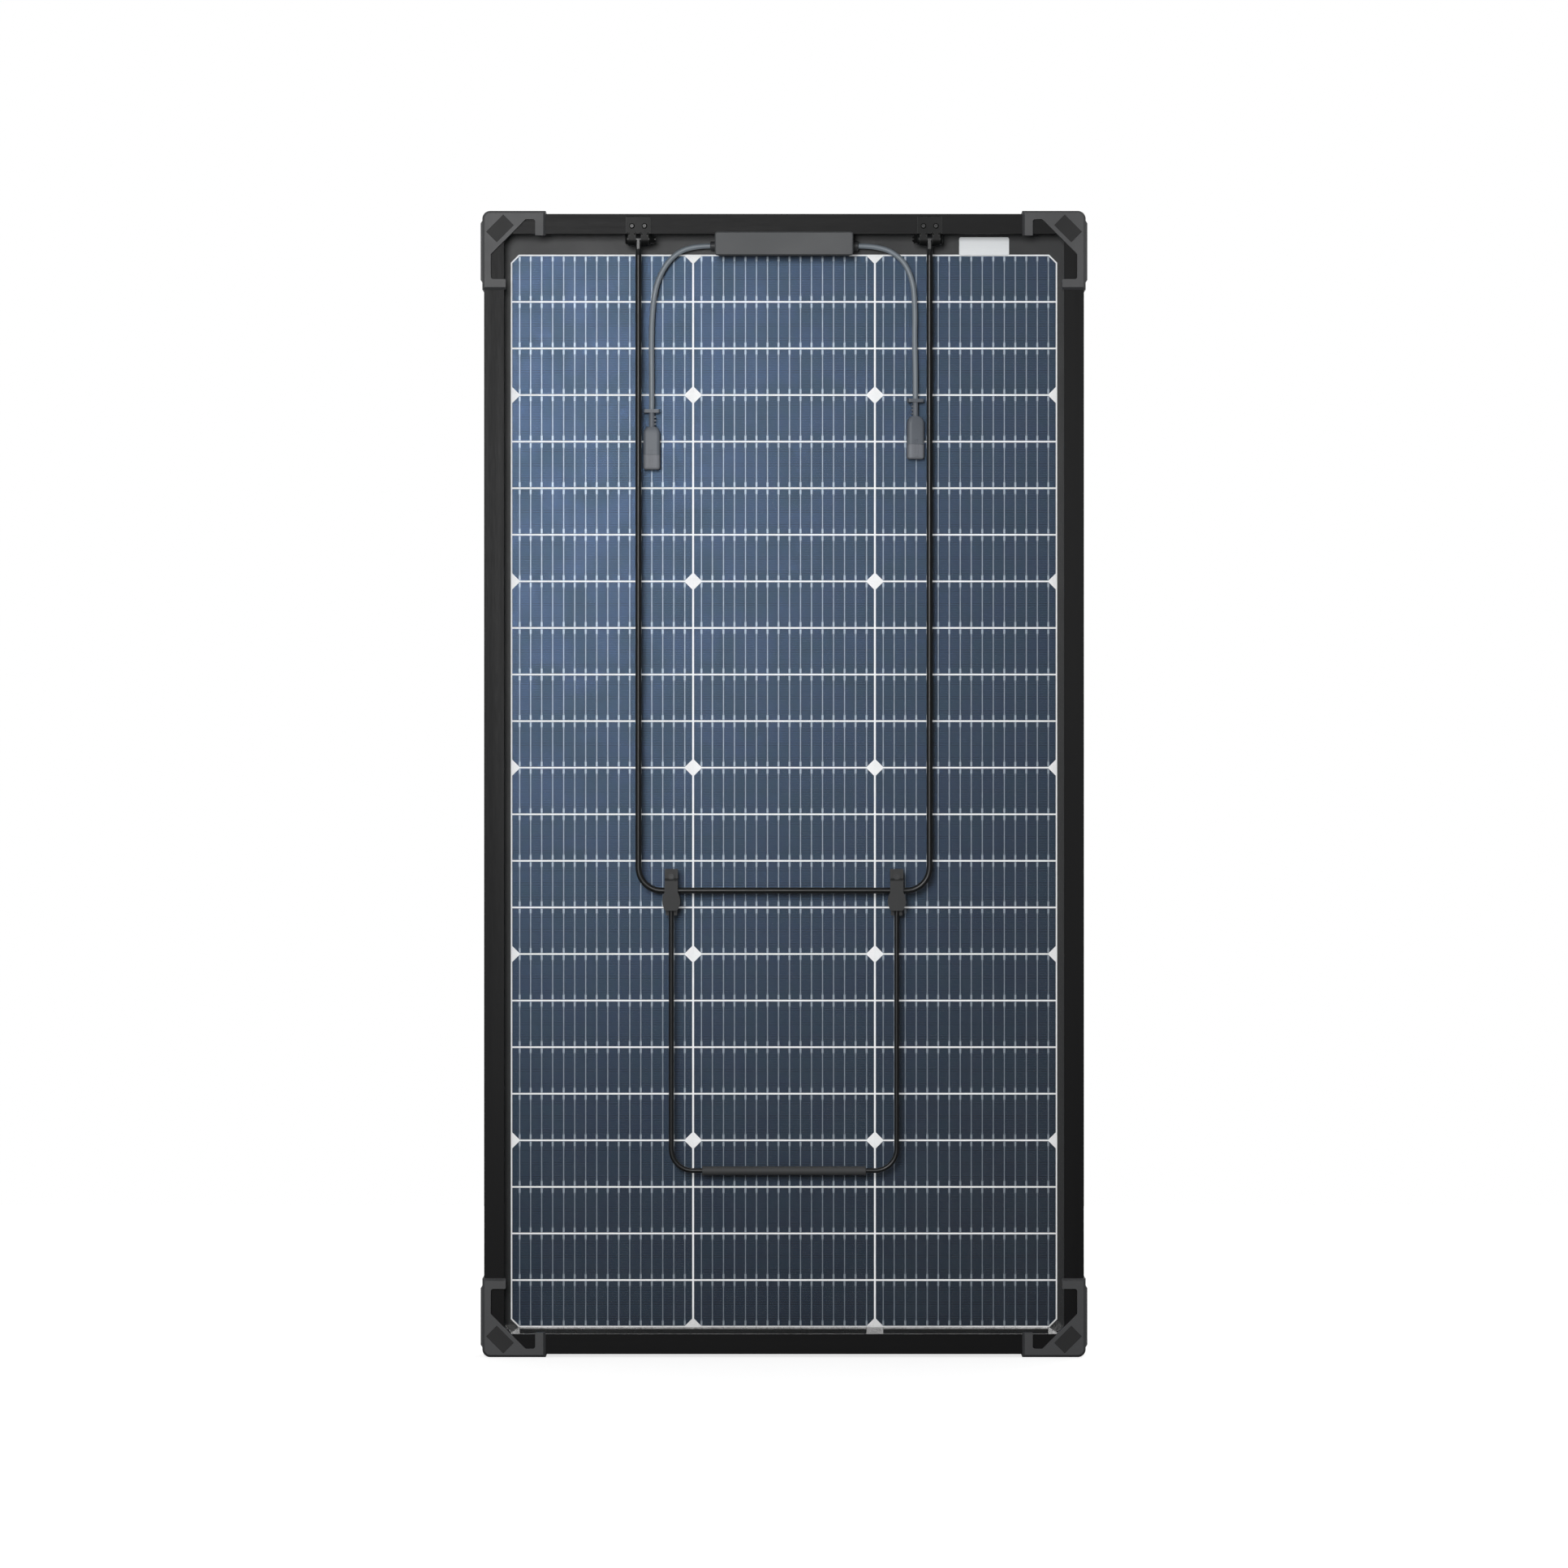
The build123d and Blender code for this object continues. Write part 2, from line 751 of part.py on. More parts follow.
plate_bottom = flange_top + bracket_drop
plate_back = frame_back - plate_thickness
relief_xs = [edge for start in lug_starts for edge in (start, start + knuckle_width)]
for name, side in SIDES.items():
    middle = side * stand_x
    with BuildPart() as bracket:
        with BuildSketch(at_depth(frame_back)):
            with Locations((middle, plate_bottom)):
                Rectangle(bracket_width, bracket_height, align=(Align.CENTER, Align.MIN))
        extrude(amount=plate_thickness)
        top_edge = bracket.faces().sort_by(Axis.Y)[0].edges().sort_by(Axis.Z)[-1]
        chamfer(top_edge, bracket_bevel)
        for lug_start in lug_starts:
            with BuildSketch(across(middle + lug_start)):
                with Locations((hinge_y, hinge_z)):
                    Circle(knuckle_outer)
                    Circle(knuckle_bore / 2, mode=Mode.SUBTRACT)
                with Locations((frame_back, flange_top - frame_wall / 2)):
                    Rectangle(
                        2 * knuckle_outer,
                        knuckle_outer,
                        align=(Align.MIN, Align.MIN),
                        mode=Mode.SUBTRACT,
                    )
                with Locations((frame_back, hinge_z)):
                    Rectangle(
                        plate_thickness, plate_bottom - hinge_z, align=(Align.MAX, Align.MIN)
                    )
            extrude(amount=knuckle_width)
        with BuildSketch(at_depth(frame_back)):
            with Locations(*[(middle + x, flange_top + relief_rise - relief_radius) for x in relief_xs]):
                Circle(relief_radius)
            with Locations(*[(middle + step * rivet_spacing / 2, rivet_z) for step in (-1, 1)]):
                Circle(rivet_shank / 2 + fit_clearance)
        extrude(amount=plate_thickness, mode=Mode.SUBTRACT)
    bracket.part.label = f"hinge_bracket_{name}"
    export_step(bracket.part, f"parts/hinge_bracket_{name}.step")

rivet_points = [(x, rivet_z) for x in rivet_xs]
with BuildPart() as bracket_rivets:
    with BuildSketch(at_depth(plate_back)):
        with Locations(*rivet_points):
            Circle(rivet_head / 2)
    extrude(amount=rivet_head_height)
    domes = bracket_rivets.faces().filter_by(Axis.Y).group_by(Axis.Y)[0]
    fillet(domes.edges(), rivet_head_height * 0.9)
    with BuildSketch(at_depth(frame_back + frame_wall)):
        with Locations(*rivet_points):
            Circle(rivet_shank / 2)
    extrude(amount=frame_wall + plate_thickness)
    with BuildSketch(at_depth(frame_back + frame_wall + rivet_tail)):
        with Locations(*rivet_points):
            Circle(rivet_shank / 2 + rivet_tail_spread)
    extrude(amount=rivet_tail)
    with BuildSketch(at_depth(plate_back)):
        with Locations(*rivet_points):
            Circle(rivet_dimple / 2)
    extrude(amount=rivet_head_height, mode=Mode.SUBTRACT)
bracket_rivets.part.label = "bracket_rivets"
export_step(bracket_rivets.part, "parts/bracket_rivets.step")

with BuildPart() as hinge_bushes:
    for side in SIDES.values():
        for lug_start in lug_starts:
            with BuildSketch(across(side * stand_x + lug_start)):
                with Locations((hinge_y, hinge_z)):
                    Circle(knuckle_bore / 2 - fit_clearance)
                    Circle(bolt_diameter / 2 + fit_clearance, mode=Mode.SUBTRACT)
            extrude(amount=knuckle_width)
hinge_bushes.part.label = "hinge_bushes"
export_step(hinge_bushes.part, "parts/hinge_bushes.step")

# Heads are outboard and nuts inboard, both measured from the middle of their bracket
knuckle_end = knuckle_gap / 2 + knuckle_width
bolt_end = knuckle_end + washer_thickness + nut_height + bolt_past_nut
with BuildPart() as hinge_bolts:
    for side in SIDES.values():
        with BuildSketch(across(side * (stand_x + knuckle_end))):
            with Locations((hinge_y, hinge_z)):
                Circle(bolt_head / 2)
        extrude(amount=side * bolt_head_height)
    heads = hinge_bolts.faces().filter_by(Axis.X).sort_by(Axis.X)
    fillet([heads[0].edges()[0], heads[-1].edges()[0]], bolt_head_height * 0.8)
    for side in SIDES.values():
        with BuildSketch(across(side * (stand_x + knuckle_end))):
            with Locations((hinge_y, hinge_z)):
                Circle(bolt_diameter / 2)
        extrude(amount=-side * (knuckle_end + bolt_end))
hinge_bolts.part.label = "hinge_bolts"
export_step(hinge_bolts.part, "parts/hinge_bolts.step")

with BuildPart() as hinge_washers:
    for side in SIDES.values():
        with BuildSketch(across(side * (stand_x - knuckle_end))):
            with Locations((hinge_y, hinge_z)):
                Circle(washer_diameter / 2)
                Circle(bolt_diameter / 2 + fit_clearance, mode=Mode.SUBTRACT)
        extrude(amount=-side * washer_thickness)
hinge_washers.part.label = "hinge_washers"
export_step(hinge_washers.part, "parts/hinge_washers.step")

with BuildPart() as hinge_nuts:
    for side in SIDES.values():
        nut_seat = side * (stand_x - knuckle_end - washer_thickness)
        with BuildSketch(across(nut_seat)):
            with Locations((hinge_y, hinge_z)):
                Circle(nut_flange / 2)
        extrude(amount=-side * nut_flange_height, taper=nut_taper)
        with BuildSketch(across(nut_seat)):
            with Locations((hinge_y, hinge_z)):
                RegularPolygon(nut_flats / 2, 6, major_radius=False)
        extrude(amount=-side * nut_height)
        with BuildSketch(across(nut_seat)):
            with Locations((hinge_y, hinge_z)):
                Circle(bolt_diameter / 2 + fit_clearance)
        extrude(amount=-side * nut_height, mode=Mode.SUBTRACT)
hinge_nuts.part.label = "hinge_nuts"
export_step(hinge_nuts.part, "parts/hinge_nuts.step")

# --- Stand: a wire U with flattened, drilled ends ---------------------------------------------------

paddle_end = hinge_z - paddle_length
rod_end = paddle_end - paddle_blend
with BuildPart() as stand_rod:
    with BuildLine(at_depth(hinge_y)):
        FilletPolyline(
            (-stand_x, rod_end),
            (-stand_x, stand_bar_height),
            (stand_x, stand_bar_height),
            (stand_x, rod_end),
            radius=stand_bend,
        )
    with BuildSketch(Plane((-stand_x, hinge_y, rod_end), z_dir=(0, 0, -1))):
        Circle(stand_rod_diameter / 2)
    sweep()
    for side in SIDES.values():
        with BuildSketch(Plane((side * stand_x, hinge_y, rod_end))):
            Circle(stand_rod_diameter / 2)
        with BuildSketch(Plane((side * stand_x, hinge_y, paddle_end))):
            RectangleRounded(paddle_thickness, paddle_width, paddle_edge)
        loft()
        with BuildSketch(Plane((side * stand_x, hinge_y, paddle_end))):
            RectangleRounded(paddle_thickness, paddle_width, paddle_edge)
        extrude(amount=paddle_length)
        with BuildSketch(across(side * stand_x - paddle_thickness / 2)):
            with Locations((hinge_y, hinge_z)):
                Circle(paddle_width / 2)
        extrude(amount=paddle_thickness)
        with BuildSketch(across(side * stand_x - paddle_thickness / 2)):
            with Locations((hinge_y, hinge_z)):
                Circle(bolt_diameter / 2 + running_clearance)
        extrude(amount=paddle_thickness, mode=Mode.SUBTRACT)
stand_rod.part.label = "stand_rod"
export_step(stand_rod.part, "parts/stand_rod.step")

# --- Extension: a smaller wire U, its grip, and the clips that hang it on the stand ------------------

foot_top = stand_bar_height - foot_rod_top
pin_z = stand_bar_height - pin_drop
with BuildPart() as extension_rod:
    with BuildLine(at_depth(hinge_y)):
        FilletPolyline(
            (-foot_x, foot_top),
            (-foot_x, foot_bar_height),
            (foot_x, foot_bar_height),
            (foot_x, foot_top),
            radius=foot_bend,
        )
    with BuildSketch(Plane((-foot_x, hinge_y, foot_top), z_dir=(0, 0, -1))):
        Circle(foot_rod_diameter / 2)
    sweep()
    for side in SIDES.values():
        with BuildSketch(across(side * foot_x - foot_rod_diameter)):
            with Locations((hinge_y, pin_z)):
                Circle(pin_diameter / 2 + fit_clearance)
        extrude(amount=2 * foot_rod_diameter, mode=Mode.SUBTRACT)
extension_rod.part.label = "extension_rod"
export_step(extension_rod.part, "parts/extension_rod.step")

grip_start = across(-grip_length / 2)
with BuildPart() as grip_sleeve:
    with BuildSketch(grip_start):
        with Locations((hinge_y, foot_bar_height)):
            Circle(grip_diameter / 2)
    extrude(amount=grip_length)
    for bead_start in (-grip_length / 2, grip_length / 2 - grip_bead_width):
        with BuildSketch(across(bead_start)):
            with Locations((hinge_y, foot_bar_height)):
                Circle(grip_bead / 2)
        extrude(amount=grip_bead_width)
    ends = grip_sleeve.faces().filter_by(Axis.X).sort_by(Axis.X)
    fillet([ends[0].edges()[0], ends[-1].edges()[0]], grip_edge)
    with BuildSketch(grip_start):
        with Locations((hinge_y, foot_bar_height)):
            Circle(foot_rod_diameter / 2 + fit_clearance)
    extrude(amount=grip_length, mode=Mode.SUBTRACT)
grip_sleeve.part.label = "grip_sleeve"
export_step(grip_sleeve.part, "parts/grip_sleeve.step")

screw_z = stand_bar_height + clip_screw_height
screw_seat = hinge_y - clip_boss_height + clip_screw_head_height
clip_base = stand_bar_height - clip_bottom
clip_halves = {
    "front": [
        (hinge_y + clip_front, clip_base),
        (hinge_y + clip_front, stand_bar_height + clip_top),
        (hinge_y, stand_bar_height + clip_top),
        (hinge_y, clip_base),
    ],
    "back": [
        (hinge_y, stand_bar_height - clip_body_bottom),
        (hinge_y, stand_bar_height + clip_top),
        (hinge_y - clip_tab, stand_bar_height + clip_top),
        (hinge_y - clip_tab, stand_bar_height + clip_step),
        (hinge_y - clip_rear, stand_bar_height + clip_step - clip_step_fall),
        (hinge_y - clip_rear, stand_bar_height - clip_body_bottom),
    ],
}


half_neck = clip_neck_width / 2
for name, side in SIDES.items():
    middle = side * foot_x
    clip_plane = Plane((middle, hinge_y + clip_front, stand_bar_height), (1, 0, 0), (0, -1, 0))
    for half, profile in clip_halves.items():
        with BuildPart() as clip:
            with BuildSketch(clip_plane):
                with BuildLine():
                    Polyline(
                        (0, clip_top),
                        (clip_width / 2, clip_top),
                        (clip_width / 2, -clip_bulge_start),
                    )
                    ThreePointArc(
                        (clip_width / 2, -clip_bulge_start),
                        (clip_bulge / 2, -clip_bulge_drop),
                        (half_neck, -clip_body_bottom),
                    )
                    Polyline(
                        (half_neck, -clip_body_bottom),
                        (half_neck, -clip_bottom),
                        (0, -clip_bottom),
                    )
                    mirror(about=Plane.YZ)
                make_face()
            extrude(amount=clip_front + clip_rear)
            with BuildSketch(across(middle - clip_bulge)):
                Polygon(*profile)
            extrude(amount=2 * clip_bulge, mode=Mode.INTERSECT)
            if half == "back":
                with BuildSketch(at_depth(hinge_y)):
                    with Locations((middle, screw_z)):
                        Circle(clip_boss / 2)
                extrude(amount=clip_boss_height)
            # Both halves share the bores for the bar, the rod's end, its cross pin and the screw
            with BuildSketch(across(middle - clip_bulge)):
                with Locations((hinge_y, stand_bar_height)):
                    Circle(stand_rod_diameter / 2 + running_clearance)
            extrude(amount=2 * clip_bulge, mode=Mode.SUBTRACT)
            with BuildSketch(level(clip_base)):
                with Locations((middle, hinge_y)):
                    Circle(foot_rod_diameter / 2 + fit_clearance)
            extrude(amount=foot_top + clip_end_gap - clip_base, mode=Mode.SUBTRACT)
            with BuildSketch(across(middle - pin_length / 2)):
                with Locations((hinge_y, pin_z)):
                    Circle(pin_diameter / 2 + fit_clearance)
            extrude(amount=pin_length, mode=Mode.SUBTRACT)
            with BuildSketch(at_depth(hinge_y + clip_screw_length + clip_end_gap)):
                with Locations((middle, screw_z)):
                    Circle(clip_screw_shank / 2 + fit_clearance)
            extrude(amount=clip_rear + clip_screw_length, mode=Mode.SUBTRACT)
            with BuildSketch(at_depth(screw_seat)):
                with Locations((middle, screw_z)):
                    Circle(clip_screw_head / 2 + fit_clearance)
            extrude(amount=clip_rear, mode=Mode.SUBTRACT)
        clip.part.label = f"clip_{half}_{name}"
        export_step(clip.part, f"parts/clip_{half}_{name}.step")

with BuildPart() as clip_screws:
    for side in SIDES.values():
        spot = (side * foot_x, screw_z)
        with BuildSketch(at_depth(hinge_y + clip_screw_length)):
            with Locations(spot):
                Circle(clip_screw_shank / 2)
        extrude(amount=hinge_y + clip_screw_length - screw_seat)
        with BuildSketch(at_depth(screw_seat)):
            with Locations(spot):
                Circle(clip_screw_head / 2)
        extrude(amount=clip_screw_head_height)
        with BuildSketch(at_depth(screw_seat)):
            with Locations(spot):
                RegularPolygon(clip_screw_socket / 2, 6)
        extrude(amount=clip_screw_head_height, mode=Mode.SUBTRACT)
clip_screws.part.label = "clip_screws"
export_step(clip_screws.part, "parts/clip_screws.step")

with BuildPart() as clip_pins:
    for side in SIDES.values():
        with BuildSketch(across(side * foot_x - pin_length / 2)):
            with Locations((hinge_y, pin_z)):
                Circle(pin_diameter / 2)
        extrude(amount=pin_length)
clip_pins.part.label = "clip_pins"
export_step(clip_pins.part, "parts/clip_pins.step")

# --- Junction box ------------------------------------------------------------------------------------

with BuildPart() as junction_box_base:
    with BuildSketch(at_depth(base_front)):
        with Locations((0, base_z)):
            RectangleRounded(2 * base_half, box_height, box_corner)
    extrude(amount=base_front - lid_front)
    with BuildSketch(at_depth(floor_back)):
        with Locations((0, base_z)):
            Rectangle(cavity_width, cavity_height)
    extrude(amount=floor_back - lid_front, mode=Mode.SUBTRACT)
    with BuildSketch(at_depth(lid_front + gasket_section)):
        with Locations((0, base_z)):
            Rectangle(cavity_width + 2 * gasket_section, cavity_height + 2 * gasket_section)
    extrude(amount=gasket_section, mode=Mode.SUBTRACT)
    for side in SIDES.values():
        with BuildSketch(across(side * base_half)):
            with Locations((lead_y, lead_z)):
                Circle(gland_spigot / 2 + fit_clearance)
        extrude(amount=-side * box_wall, mode=Mode.SUBTRACT)
junction_box_base.part.label = "junction_box_base"
export_step(junction_box_base.part, "parts/junction_box_base.step")

with BuildPart() as junction_box_lid:
    with BuildSketch(at_depth(lid_front)):
        with Locations((0, lid_z)):
            RectangleRounded(box_width, box_lid_height, box_corner)
    extrude(amount=box_lid_thickness)
    chamfer(junction_box_lid.faces().sort_by(Axis.Y)[0].edges(), box_edge)
    rim_width = cavity_width - 2 * rim_clearance
    rim_height = cavity_height - 2 * rim_clearance
    with BuildSketch(at_depth(lid_front + rim_depth)):
        with Locations((0, base_z)):
            Rectangle(rim_width, rim_height)
            Rectangle(rim_width - 2 * rim_wall, rim_height - 2 * rim_wall, mode=Mode.SUBTRACT)
    extrude(amount=rim_depth)
junction_box_lid.part.label = "junction_box_lid"
export_step(junction_box_lid.part, "parts/junction_box_lid.step")

with BuildPart() as box_gasket:
    with BuildSketch(at_depth(lid_front + gasket_section)):
        with Locations((0, base_z)):
            Rectangle(cavity_width + 2 * gasket_section, cavity_height + 2 * gasket_section)
            Rectangle(cavity_width, cavity_height, mode=Mode.SUBTRACT)
    extrude(amount=gasket_section)
box_gasket.part.label = "box_gasket"
export_step(box_gasket.part, "parts/box_gasket.step")

with BuildPart() as adhesive:
    with BuildSketch(at_depth(sheet_back)):
        with Locations((0, base_z)):
            Rectangle(2 * (base_half - box_adhesive_inset), box_height - 2 * box_adhesive_inset)
    extrude(amount=box_adhesive)
adhesive.part.label = "box_adhesive"
export_step(adhesive.part, "parts/box_adhesive.step")

with BuildPart() as terminals:
    with BuildSketch(at_depth(floor_back)):
        with Locations((0, base_z)):
            with GridLocations(terminal_pitch, 0, terminal_count, 1):
                Rectangle(terminal_width, terminal_length)
    extrude(amount=terminal_thickness)
terminals.part.label = "terminals"
export_step(terminals.part, "parts/terminals.step")

with BuildPart() as bypass_diodes:
    for step in range(terminal_count - 1):
        diode_x = (step + 1 - terminal_count / 2) * terminal_pitch
        for length, diameter in ((diode_length, diode_diameter), (diode_wire_length, diode_wire)):
            with BuildSketch(across(diode_x - length / 2)):
                with Locations((floor_back - diode_diameter / 2, base_z)):
                    Circle(diameter / 2)
            extrude(amount=length)
bypass_diodes.part.label = "bypass_diodes"
export_step(bypass_diodes.part, "parts/bypass_diodes.step")

for name, side in SIDES.items():
    reach = gland_reach[name]
    with BuildPart() as gland:
        with BuildSketch(across(side * base_half)):
            with Locations((lead_y, lead_z)):
                Circle(gland_diameter[name] / 2)
        extrude(amount=side * reach)
        outer_end = gland.faces().filter_by(Axis.X).sort_by(Axis.X)[-1 if side > 0 else 0]
        chamfer(outer_end.edges(), gland_edge)
        with BuildSketch(across(side * base_half)):
            with Locations((lead_y, lead_z)):
                Circle(gland_spigot / 2)
        extrude(amount=-side * box_wall)
        with BuildSketch(across(side * (base_half - box_wall))):
            with Locations((lead_y, lead_z)):
                Circle(gland_nut / 2)
        extrude(amount=-side * gland_nut_height)
        with BuildSketch(across(side * (base_half + reach - gland_mouth))):
            with Locations((lead_y, lead_z)):
                Circle(gland_bore / 2)
        extrude(
            amount=-side * (reach - gland_mouth + box_wall + gland_nut_height),
            mode=Mode.SUBTRACT,
        )
    gland.part.label = f"cable_gland_{name}"
    export_step(gland.part, f"parts/cable_gland_{name}.step")

# --- Leads, and the collar, shell, contact and dust cap on the end of each ---------------------------


def bend_radii(points):
    """The radius of each corner: 0.45 of its shorter run over the tangent of half its turn."""
    radii = []
    for before, corner, after in zip(points, points[1:], points[2:]):
        run_in = Vector(*corner) - Vector(*before)
        run_out = Vector(*after) - Vector(*corner)
        half_turn = radians(run_in.get_angle(run_out)) / 2
        radii.append(0.45 * min(run_in.length, run_out.length) / tan(half_turn))
    return radii


for name, side in SIDES.items():
    mouth_x = side * (base_half + gland_reach[name])
    route = [(mouth_x + side * out, lead_z + up) for out, up in LEAD_ROUTES[name]]
    radii = bend_radii(route)
    print(f"lead_{name} radii:", [round(radius, 1) for radius in radii])
    with BuildPart() as lead:
        with BuildLine(at_depth(lead_y)) as path:
            FilletPolyline(*route, radius=radii)
        with BuildSketch(Plane((mouth_x, lead_y, lead_z), z_dir=(side, 0, 0))):
            Circle(lead_diameter / 2)
        sweep()
    length = path.wire().length
    tube_volume = pi * lead_diameter**2 / 4 * length
    print(f"lead_{name} length {length:.1f}, volume over section x length "
          f"{lead.part.volume / tube_volume:.5f}")
    lead.part.label = f"lead_{name}"
    export_step(lead.part, f"parts/lead_{name}.step")

    # The connector hangs straight down from the end of its lead, turned about its own axis
    end_x, end_z = route[-1]
    turn = radians(connector_turn[name])
    sideways = (cos(turn), sin(turn), 0)
    rearward = (sin(turn), -cos(turn), 0)

    def connector_level(drop):
        """The level plane that lies this far below the top of the collar."""
        return Plane((end_x, lead_y, end_z - drop), sideways, (0, 0, 1))

    connector_back = Plane((end_x, lead_y, end_z), sideways, rearward).offset(
        connector_thickness / 2
    )
    shoulder_drop = collar_height + neck_length
    shell_drop = shoulder_drop + shoulder_length
    seam_drop = shell_drop + shell_length
    nose_drop = seam_drop + nose_length
    nose_width = connector_width - 2 * (cap_wall + nose_clearance)
    nose_thickness = connector_thickness - 2 * (cap_wall + nose_clearance)
    nose_corner = connector_corner - cap_wall

    with BuildPart() as collar:
        with BuildSketch(connector_level(0)):
            RectangleRounded(collar_width, collar_thickness, collar_corner)
        extrude(amount=-collar_height)
        with BuildSketch(connector_level(collar_height)):
            Circle(neck_diameter / 2)
        extrude(amount=-neck_length)
        for rib in range(neck_ribs):
            rib_drop = collar_height + (rib + 1) * neck_rib_pitch
            with BuildSketch(connector_level(rib_drop)):
                Rectangle(
                    neck_diameter / 2 + neck_rib_proud,
                    neck_diameter / 2,
                    align=(Align.MIN if side < 0 else Align.MAX, Align.CENTER),
                )
            extrude(amount=-neck_rib_height)
    collar.part.label = f"connector_collar_{name}"
    export_step(collar.part, f"parts/connector_collar_{name}.step")

    with BuildPart() as shell:
        for drop, shrink in (
            (shoulder_drop, shoulder_shrink["top"]),
            (shoulder_drop + shoulder_rise, shoulder_shrink["middle"]),
            (shell_drop, 0),
        ):
            with BuildSketch(connector_level(drop)):
                RectangleRounded(
                    connector_width - shrink,
                    connector_thickness - shrink / 2,
                    connector_corner,
                )
        loft()
        with BuildSketch(connector_level(shell_drop)):
            RectangleRounded(connector_width, connector_thickness, connector_corner)
        extrude(amount=-shell_length)
        with BuildSketch(connector_level(seam_drop)):
            RectangleRounded(nose_width, nose_thickness, nose_corner)
        extrude(amount=-nose_length)
        with BuildSketch(connector_level(nose_drop)):
            Circle(contact_diameter / 2 + fit_clearance)
        extrude(amount=contact_length + contact_inset, mode=Mode.SUBTRACT)
        with BuildSketch(connector_back):
            with Locations((0, -seam_drop)):
                Rectangle(latch_width, latch_above_seam, align=(Align.CENTER, Align.MIN))
        extrude(amount=-latch_depth, mode=Mode.SUBTRACT)
    shell.part.label = f"connector_shell_{name}"
    export_step(shell.part, f"parts/connector_shell_{name}.step")

    with BuildPart() as contact:
        with BuildSketch(connector_level(nose_drop - contact_inset)):
            Circle(contact_diameter / 2)
        extrude(amount=contact_length)
    contact.part.label = f"contact_{name}"
    export_step(contact.part, f"parts/contact_{name}.step")

    with BuildPart() as dust_cap:
        with BuildSketch(connector_level(seam_drop + cap_gap)):
            RectangleRounded(connector_width, connector_thickness, connector_corner)
        extrude(amount=-cap_length)
        chamfer(dust_cap.faces().sort_by(Axis.Z)[0].edges(), cap_edge)
        with BuildSketch(connector_level(seam_drop + cap_gap)):
            RectangleRounded(
                nose_width + 2 * nose_clearance,
                nose_thickness + 2 * nose_clearance,
                nose_corner + nose_clearance,
            )
        extrude(amount=-(cap_length - cap_wall), mode=Mode.SUBTRACT)
        with BuildSketch(connector_back):
            with Locations((0, -seam_drop)):
                Rectangle(latch_width, latch_below_seam, align=(Align.CENTER, Align.MAX))
            with Locations((0, -seam_drop - notch_drop)):
                Rectangle(latch_width, notch_height)
        extrude(amount=-latch_depth, mode=Mode.SUBTRACT)
    dust_cap.part.label = f"dust_cap_{name}"
    export_step(dust_cap.part, f"parts/dust_cap_{name}.step")
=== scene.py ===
import math

import bmesh
import bpy
from bpy.props import FloatProperty, FloatVectorProperty, IntProperty, PointerProperty
from bpy.types import Operator, Panel, PropertyGroup
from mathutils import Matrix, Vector


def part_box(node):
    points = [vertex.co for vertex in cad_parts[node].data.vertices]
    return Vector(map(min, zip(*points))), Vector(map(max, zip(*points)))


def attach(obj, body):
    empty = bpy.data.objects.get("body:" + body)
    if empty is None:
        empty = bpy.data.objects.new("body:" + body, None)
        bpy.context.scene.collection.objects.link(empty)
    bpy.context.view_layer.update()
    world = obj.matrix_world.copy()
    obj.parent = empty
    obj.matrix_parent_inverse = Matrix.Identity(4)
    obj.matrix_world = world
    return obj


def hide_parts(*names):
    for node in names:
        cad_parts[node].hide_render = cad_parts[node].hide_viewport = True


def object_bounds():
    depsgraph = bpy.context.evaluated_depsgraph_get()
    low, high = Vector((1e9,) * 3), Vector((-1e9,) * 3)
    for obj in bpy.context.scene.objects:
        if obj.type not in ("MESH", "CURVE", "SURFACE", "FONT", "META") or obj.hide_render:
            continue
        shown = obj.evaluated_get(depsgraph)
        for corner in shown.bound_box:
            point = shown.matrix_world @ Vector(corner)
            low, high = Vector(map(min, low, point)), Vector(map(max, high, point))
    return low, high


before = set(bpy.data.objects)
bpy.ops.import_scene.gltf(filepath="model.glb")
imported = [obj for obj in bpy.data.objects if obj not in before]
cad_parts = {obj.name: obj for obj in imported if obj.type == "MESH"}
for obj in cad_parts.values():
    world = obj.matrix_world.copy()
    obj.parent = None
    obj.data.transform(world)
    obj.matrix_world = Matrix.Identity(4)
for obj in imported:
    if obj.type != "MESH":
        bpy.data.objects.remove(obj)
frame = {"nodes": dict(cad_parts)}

bl_info = {
    "name": "Framed Solar Panel",
    "version": (1, 0, 0),
    "blender": (4, 5, 0),
    "location": "View3D > Sidebar > Solar Panel",
    "description": "Dresses a framed solar panel with its leads, junction box and folding wire stand",
    "category": "Object",
}

# The CAD model's own box, before anything is added
cad_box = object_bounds()


# --- Sizes and colours that a user would change ---------------------------------------------------


def shade(red, green, blue):
    """A colour given as it looks on screen, 0 to 255, in the linear values that the shaders take."""
    parts = [part / 255 for part in (red, green, blue)]
    return tuple(p / 12.92 if p <= 0.04045 else ((p + 0.055) / 1.055) ** 2.4 for p in parts)


def colour(name, about, red, green, blue):
    """A colour setting, its default given as it looks on screen."""
    return FloatVectorProperty(
        name=name, description=about, subtype="COLOR", size=3, min=0, max=1,
        default=shade(red, green, blue),
    )


def length(name, about, default):
    """A length setting in metres."""
    return FloatProperty(name=name, description=about, default=default, min=0, unit="LENGTH")


